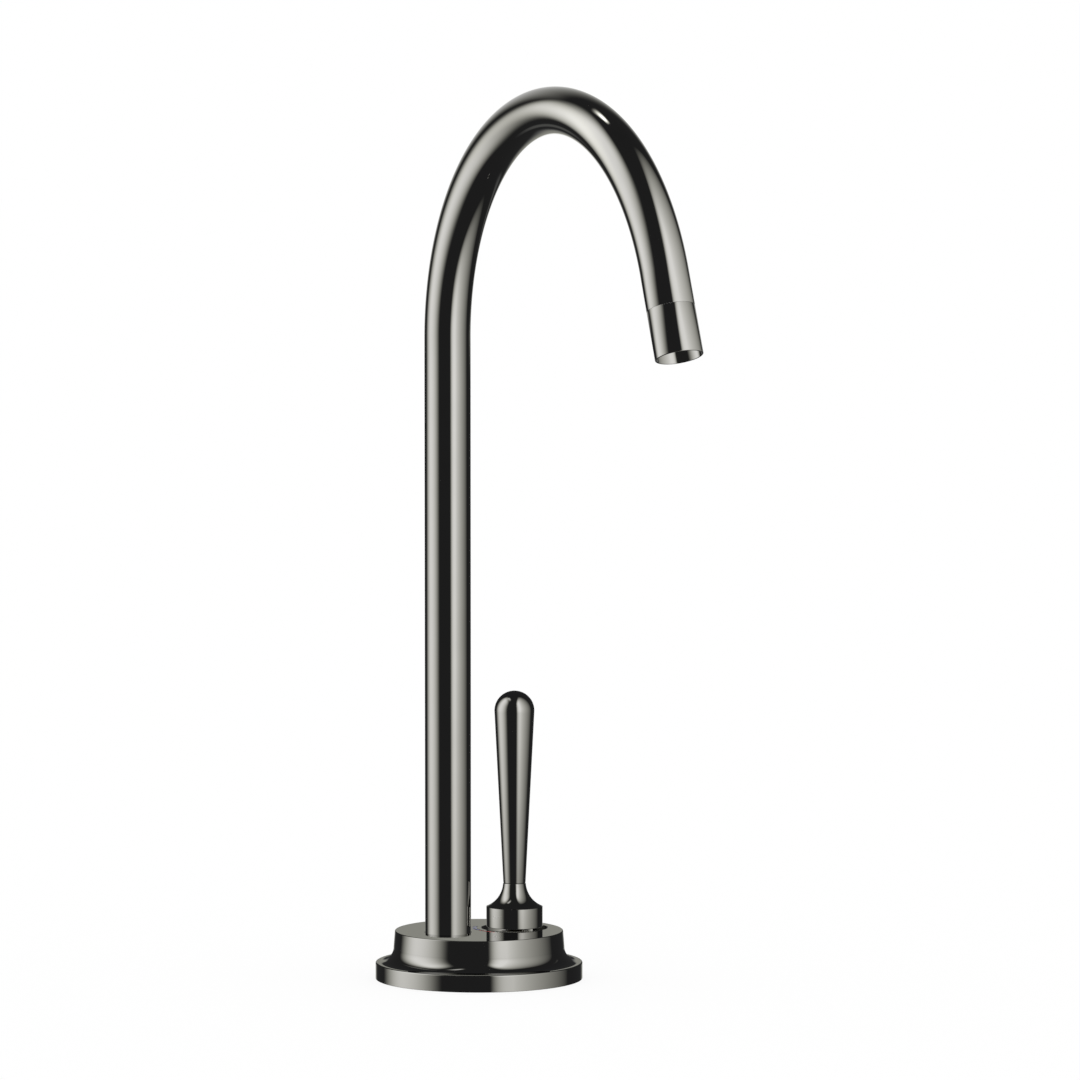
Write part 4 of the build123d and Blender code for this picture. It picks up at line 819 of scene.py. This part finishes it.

# The base's flat top mirrors the foot of the riser, so a short sleeve just inside the tube stands in
# for it there as a painted reflection. It dies away within a centimetre, before it reaches the
# lever's hub.
SLEEVE_FOOT = 19.05
SLEEVE_HEIGHT = 3.2
SLEEVE_FULL_TO = 6.0
SLEEVE_GONE_AT = 9.3
bpy.ops.object.select_all(action="DESELECT")
bpy.ops.mesh.primitive_cylinder_add(
    vertices=128, radius=(TUBE_RADIUS - 0.1) * MM, depth=SLEEVE_HEIGHT * MM, end_fill_type="NOTHING",
    location=(RISER_X * MM, 0, (SLEEVE_FOOT + SLEEVE_HEIGHT / 2) * MM))
foot_mirror = bpy.context.object
foot_mirror.name = "riser_foot_in_mirror"
bpy.ops.object.transform_apply()
bpy.ops.object.shade_smooth()
foot_reflection_stand_in = bpy.data.materials.new("painted_reflection_of_riser_foot")
foot_reflection_stand_in.use_nodes = True
tree = foot_reflection_stand_in.node_tree
tree.nodes.clear()
seen_from = add_node(tree, "ShaderNodeLightPath", {}, {})
ray_length = seen_from.outputs["Ray Length"]
nearness = faded(tree, [(ray_length, SLEEVE_GONE_AT * MM, SLEEVE_FULL_TO * MM, SOFT)])
skin = add_node(tree, "ShaderNodeBsdfGlossy", {"Color": linear("9e9d9a"), "Roughness": 0.03}, {})
clear = add_node(tree, "ShaderNodeBsdfTransparent", {}, {})
surface = add_node(tree, "ShaderNodeMixShader", {},
                   {0: nearness.outputs[0], 1: clear.outputs[0], 2: skin.outputs[0]})
add_node(tree, "ShaderNodeOutputMaterial", {}, {"Surface": surface.outputs[0]})
foot_mirror.data.materials.append(foot_reflection_stand_in)
only_in_mirrors(foot_mirror)


# Outlet nozzle
# A turned sleeve of the tube's own width that screws into its end. The mouth is bored out thin,
# and a step inside it carries the aerator.

NOZZLE_LENGTH = 18.6
MOUTH_BORE = 8.3
MOUTH_DEPTH = 9.2
THROAT = 6.6
PLUG_LENGTH = 9.0
AERATOR_SEAT = 3.0
MOUTH_OUTER_EDGE = 0.23
MOUTH_INNER_EDGE = 0.12
nozzle_rings = [(THROAT, -PLUG_LENGTH), (TUBE_BORE, -PLUG_LENGTH), (TUBE_BORE, 0.0)]
nozzle_rings += rounded_corner((TUBE_RADIUS, 0), JOINT_EDGE, (1, 0), (0, 1), 2)
nozzle_rings += rounded_corner((TUBE_RADIUS, NOZZLE_LENGTH), MOUTH_OUTER_EDGE, (0, 1), (-1, 0), 6)
nozzle_rings += rounded_corner((MOUTH_BORE, NOZZLE_LENGTH), MOUTH_INNER_EDGE, (-1, 0), (0, -1), 4)
nozzle_rings += [(MOUTH_BORE, NOZZLE_LENGTH - MOUTH_DEPTH), (TUBE_BORE, NOZZLE_LENGTH - MOUTH_DEPTH)]
nozzle_rings += [(TUBE_BORE, AERATOR_SEAT), (THROAT, AERATOR_SEAT), (THROAT, -PLUG_LENGTH)]
nozzle = turned("nozzle_sleeve", nozzle_rings, sides=160, closed=True)
nozzle.rotation_euler = (ARCH_SWEEP, 0, 0)
nozzle.location = joint * MM
bpy.ops.object.transform_apply()
nozzle.data.materials.append(black_chrome)
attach(nozzle, "spout")
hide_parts("outlet_nozzle")
nozzle.visible_glossy = False


# Aerator
# A plastic housing with two stacked steel screens that mixes air into the water. It is pushed into
# the nozzle's throat from the mouth and sits on its rubber ring.

finish_nodes(acetal, "aerator_housing")
finish_nodes(stainless, "aerator_screens")


# Cartridge
# The valve proper, in its housing: a base with two ports, two lapped ceramic discs, the carrier
# that slides the upper one, and the rotor that turns with the lever and holds its pivot.

# Lapped alumina is an ivory white with a soft sheen and a fine speckle of open pores.
alumina = bpy.data.materials.new("lapped_alumina_ceramic")
alumina.use_nodes = True
tree = alumina.node_tree
tree.nodes.clear()
place = add_node(tree, "ShaderNodeTexCoord", {}, {})
pores = add_node(tree, "ShaderNodeTexVoronoi", {"Scale": 1 / (0.3 * MM)},
                 {"Vector": place.outputs["Object"]})
colour = add_node(tree, "ShaderNodeValToRGB", {}, {"Fac": pores.outputs["Distance"]})
colour.color_ramp.elements[0].position = 0.05
colour.color_ramp.elements[0].color = linear("d8d3c6")
colour.color_ramp.elements[1].position = 0.2
colour.color_ramp.elements[1].color = linear("efebe1")
sheen = add_node(tree, "ShaderNodeMapRange", {"To Min": 0.32, "To Max": 0.16},
                 {"Value": pores.outputs["Distance"]})
skin = add_node(tree, "ShaderNodeBsdfPrincipled", {"IOR": 1.76},
                {"Base Color": colour.outputs["Color"], "Roughness": sheen.outputs[0]})
add_node(tree, "ShaderNodeOutputMaterial", {}, {"Surface": skin.outputs[0]})
finish_nodes(alumina, "fixed_disc", "moving_disc")
finish_nodes(acetal, "cartridge_base", "cartridge_housing", "rotor", "disc_carrier")


# Spindle and cartridge nut
# The turned brass spindle swings on the pivot pin: its lower ball pushes the discs, its upper end
# carries the lever. A domed nut, plated like the base, holds the cartridge down and closes the gap
# round the hub.

# The nut's plating is the same black chrome. Its colour is painted dark in the gap, where no light
# gets in: painted shade.
shaded_chrome = bpy.data.materials.new("black_chrome_with_painted_gap_shade")
shaded_chrome.use_nodes = True
tree = shaded_chrome.node_tree
tree.nodes.clear()
place = add_node(tree, "ShaderNodeTexCoord", {}, {})
haze = add_node(tree, "ShaderNodeTexNoise", {"Scale": 1 / (8 * MM), "Detail": 3.0},
                {"Vector": place.outputs["Object"]})
pattern_with_painted_shade = painted_shade_in_nooks(tree, haze.outputs["Fac"], 0.45, 0.95)
tone = add_node(tree, "ShaderNodeValToRGB", {}, {"Fac": pattern_with_painted_shade.outputs[0]})
tone.color_ramp.elements[0].position = 0.3
tone.color_ramp.elements[0].color = linear("8f8e8b")
tone.color_ramp.elements[1].position = 0.7
tone.color_ramp.elements[1].color = linear("9d9c99")
tone.color_ramp.elements.new(0.02).color = linear("0c0c0c")
skin = add_node(tree, "ShaderNodeBsdfPrincipled", {"Metallic": 1.0, "Roughness": 0.12},
                {"Base Color": tone.outputs["Color"]})
add_node(tree, "ShaderNodeOutputMaterial", {}, {"Surface": skin.outputs[0]})
finish_nodes(turned_brass, "spindle")
finish_nodes(shaded_chrome, "cartridge_nut")


# Lever hub
# A turned brass hub, plated: a short cylinder that sweeps up in a hollow curve to a slim neck. It
# is pressed on the spindle's flats and clears the drum by half a millimetre.

HUB_FOOT = 19.5
HUB_RADIUS = 11.1
HUB_SHOULDER = HUB_FOOT + 7.9
WAIST = HUB_FOOT + 12.3
WAIST_RADIUS = 5.95
HUB_TOP = HUB_FOOT + 17.25
HUB_LOWER_EDGE = 0.3
NECK_RADIUS = 4.5
GROOVE = 0.35
neck = (NECK_RADIUS, HUB_TOP - GROOVE)
hub_rings = rounded_corner((HUB_RADIUS, HUB_FOOT), HUB_LOWER_EDGE, (1, 0), (0, 1), 6)
hub_rings += rings_on_arc((HUB_RADIUS, HUB_SHOULDER), (WAIST_RADIUS, WAIST), neck, 40)
hub_rings += [(NECK_RADIUS - 0.1, HUB_TOP - 0.1), (NECK_RADIUS - GROOVE, HUB_TOP)]
hub = turned("lever_foot", hub_rings, sides=192)
hub.data.materials.append(black_chrome)
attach(hub, "lever")
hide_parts("lever_hub")


# Lever grip
# A long turned cone that ends in a ball, screwed to the hub by a stud inside. A fine groove
# parts the two.

GRIP_TOP = 112.85
GRIP_LENGTH = GRIP_TOP - HUB_TOP
GRIP_FOOT_RADIUS = 4.4
GRIP_END_RADIUS = 7.85
taper = math.atan2(GRIP_END_RADIUS - GRIP_FOOT_RADIUS, GRIP_LENGTH - GROOVE - GRIP_END_RADIUS)
ball = GRIP_END_RADIUS / math.cos(taper)
grip_rings = [(GRIP_FOOT_RADIUS - GROOVE, HUB_TOP), (GRIP_FOOT_RADIUS - 0.1, HUB_TOP + 0.1)]
grip_rings += [(GRIP_FOOT_RADIUS, HUB_TOP + GROOVE)]
ball_height = GRIP_TOP - ball
tangent = (ball * math.cos(taper), ball_height - ball * math.sin(taper))
crown = (ball * math.sqrt(0.5), ball_height + ball * math.sqrt(0.5))
grip_rings += rings_on_arc(tangent, crown, (0, GRIP_TOP), 48)
grip_rings[-1] = (0, GRIP_TOP)
grip = turned("lever_handle", grip_rings, sides=192)
grip.data.materials.append(black_chrome)
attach(grip, "lever")
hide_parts("lever_grip")
grip.visible_glossy = False


# Lever stud and fixing set
# A steel stud inside joins spindle, hub and grip. Below the worktop, a steel washer lies on the
# rubber gasket under a turned brass nut, and two hexagon screws press it up.

finish_nodes(stainless, "lever_stud", "clamp_washer", "clamp_screws")
finish_nodes(turned_brass, "fixing_nut")
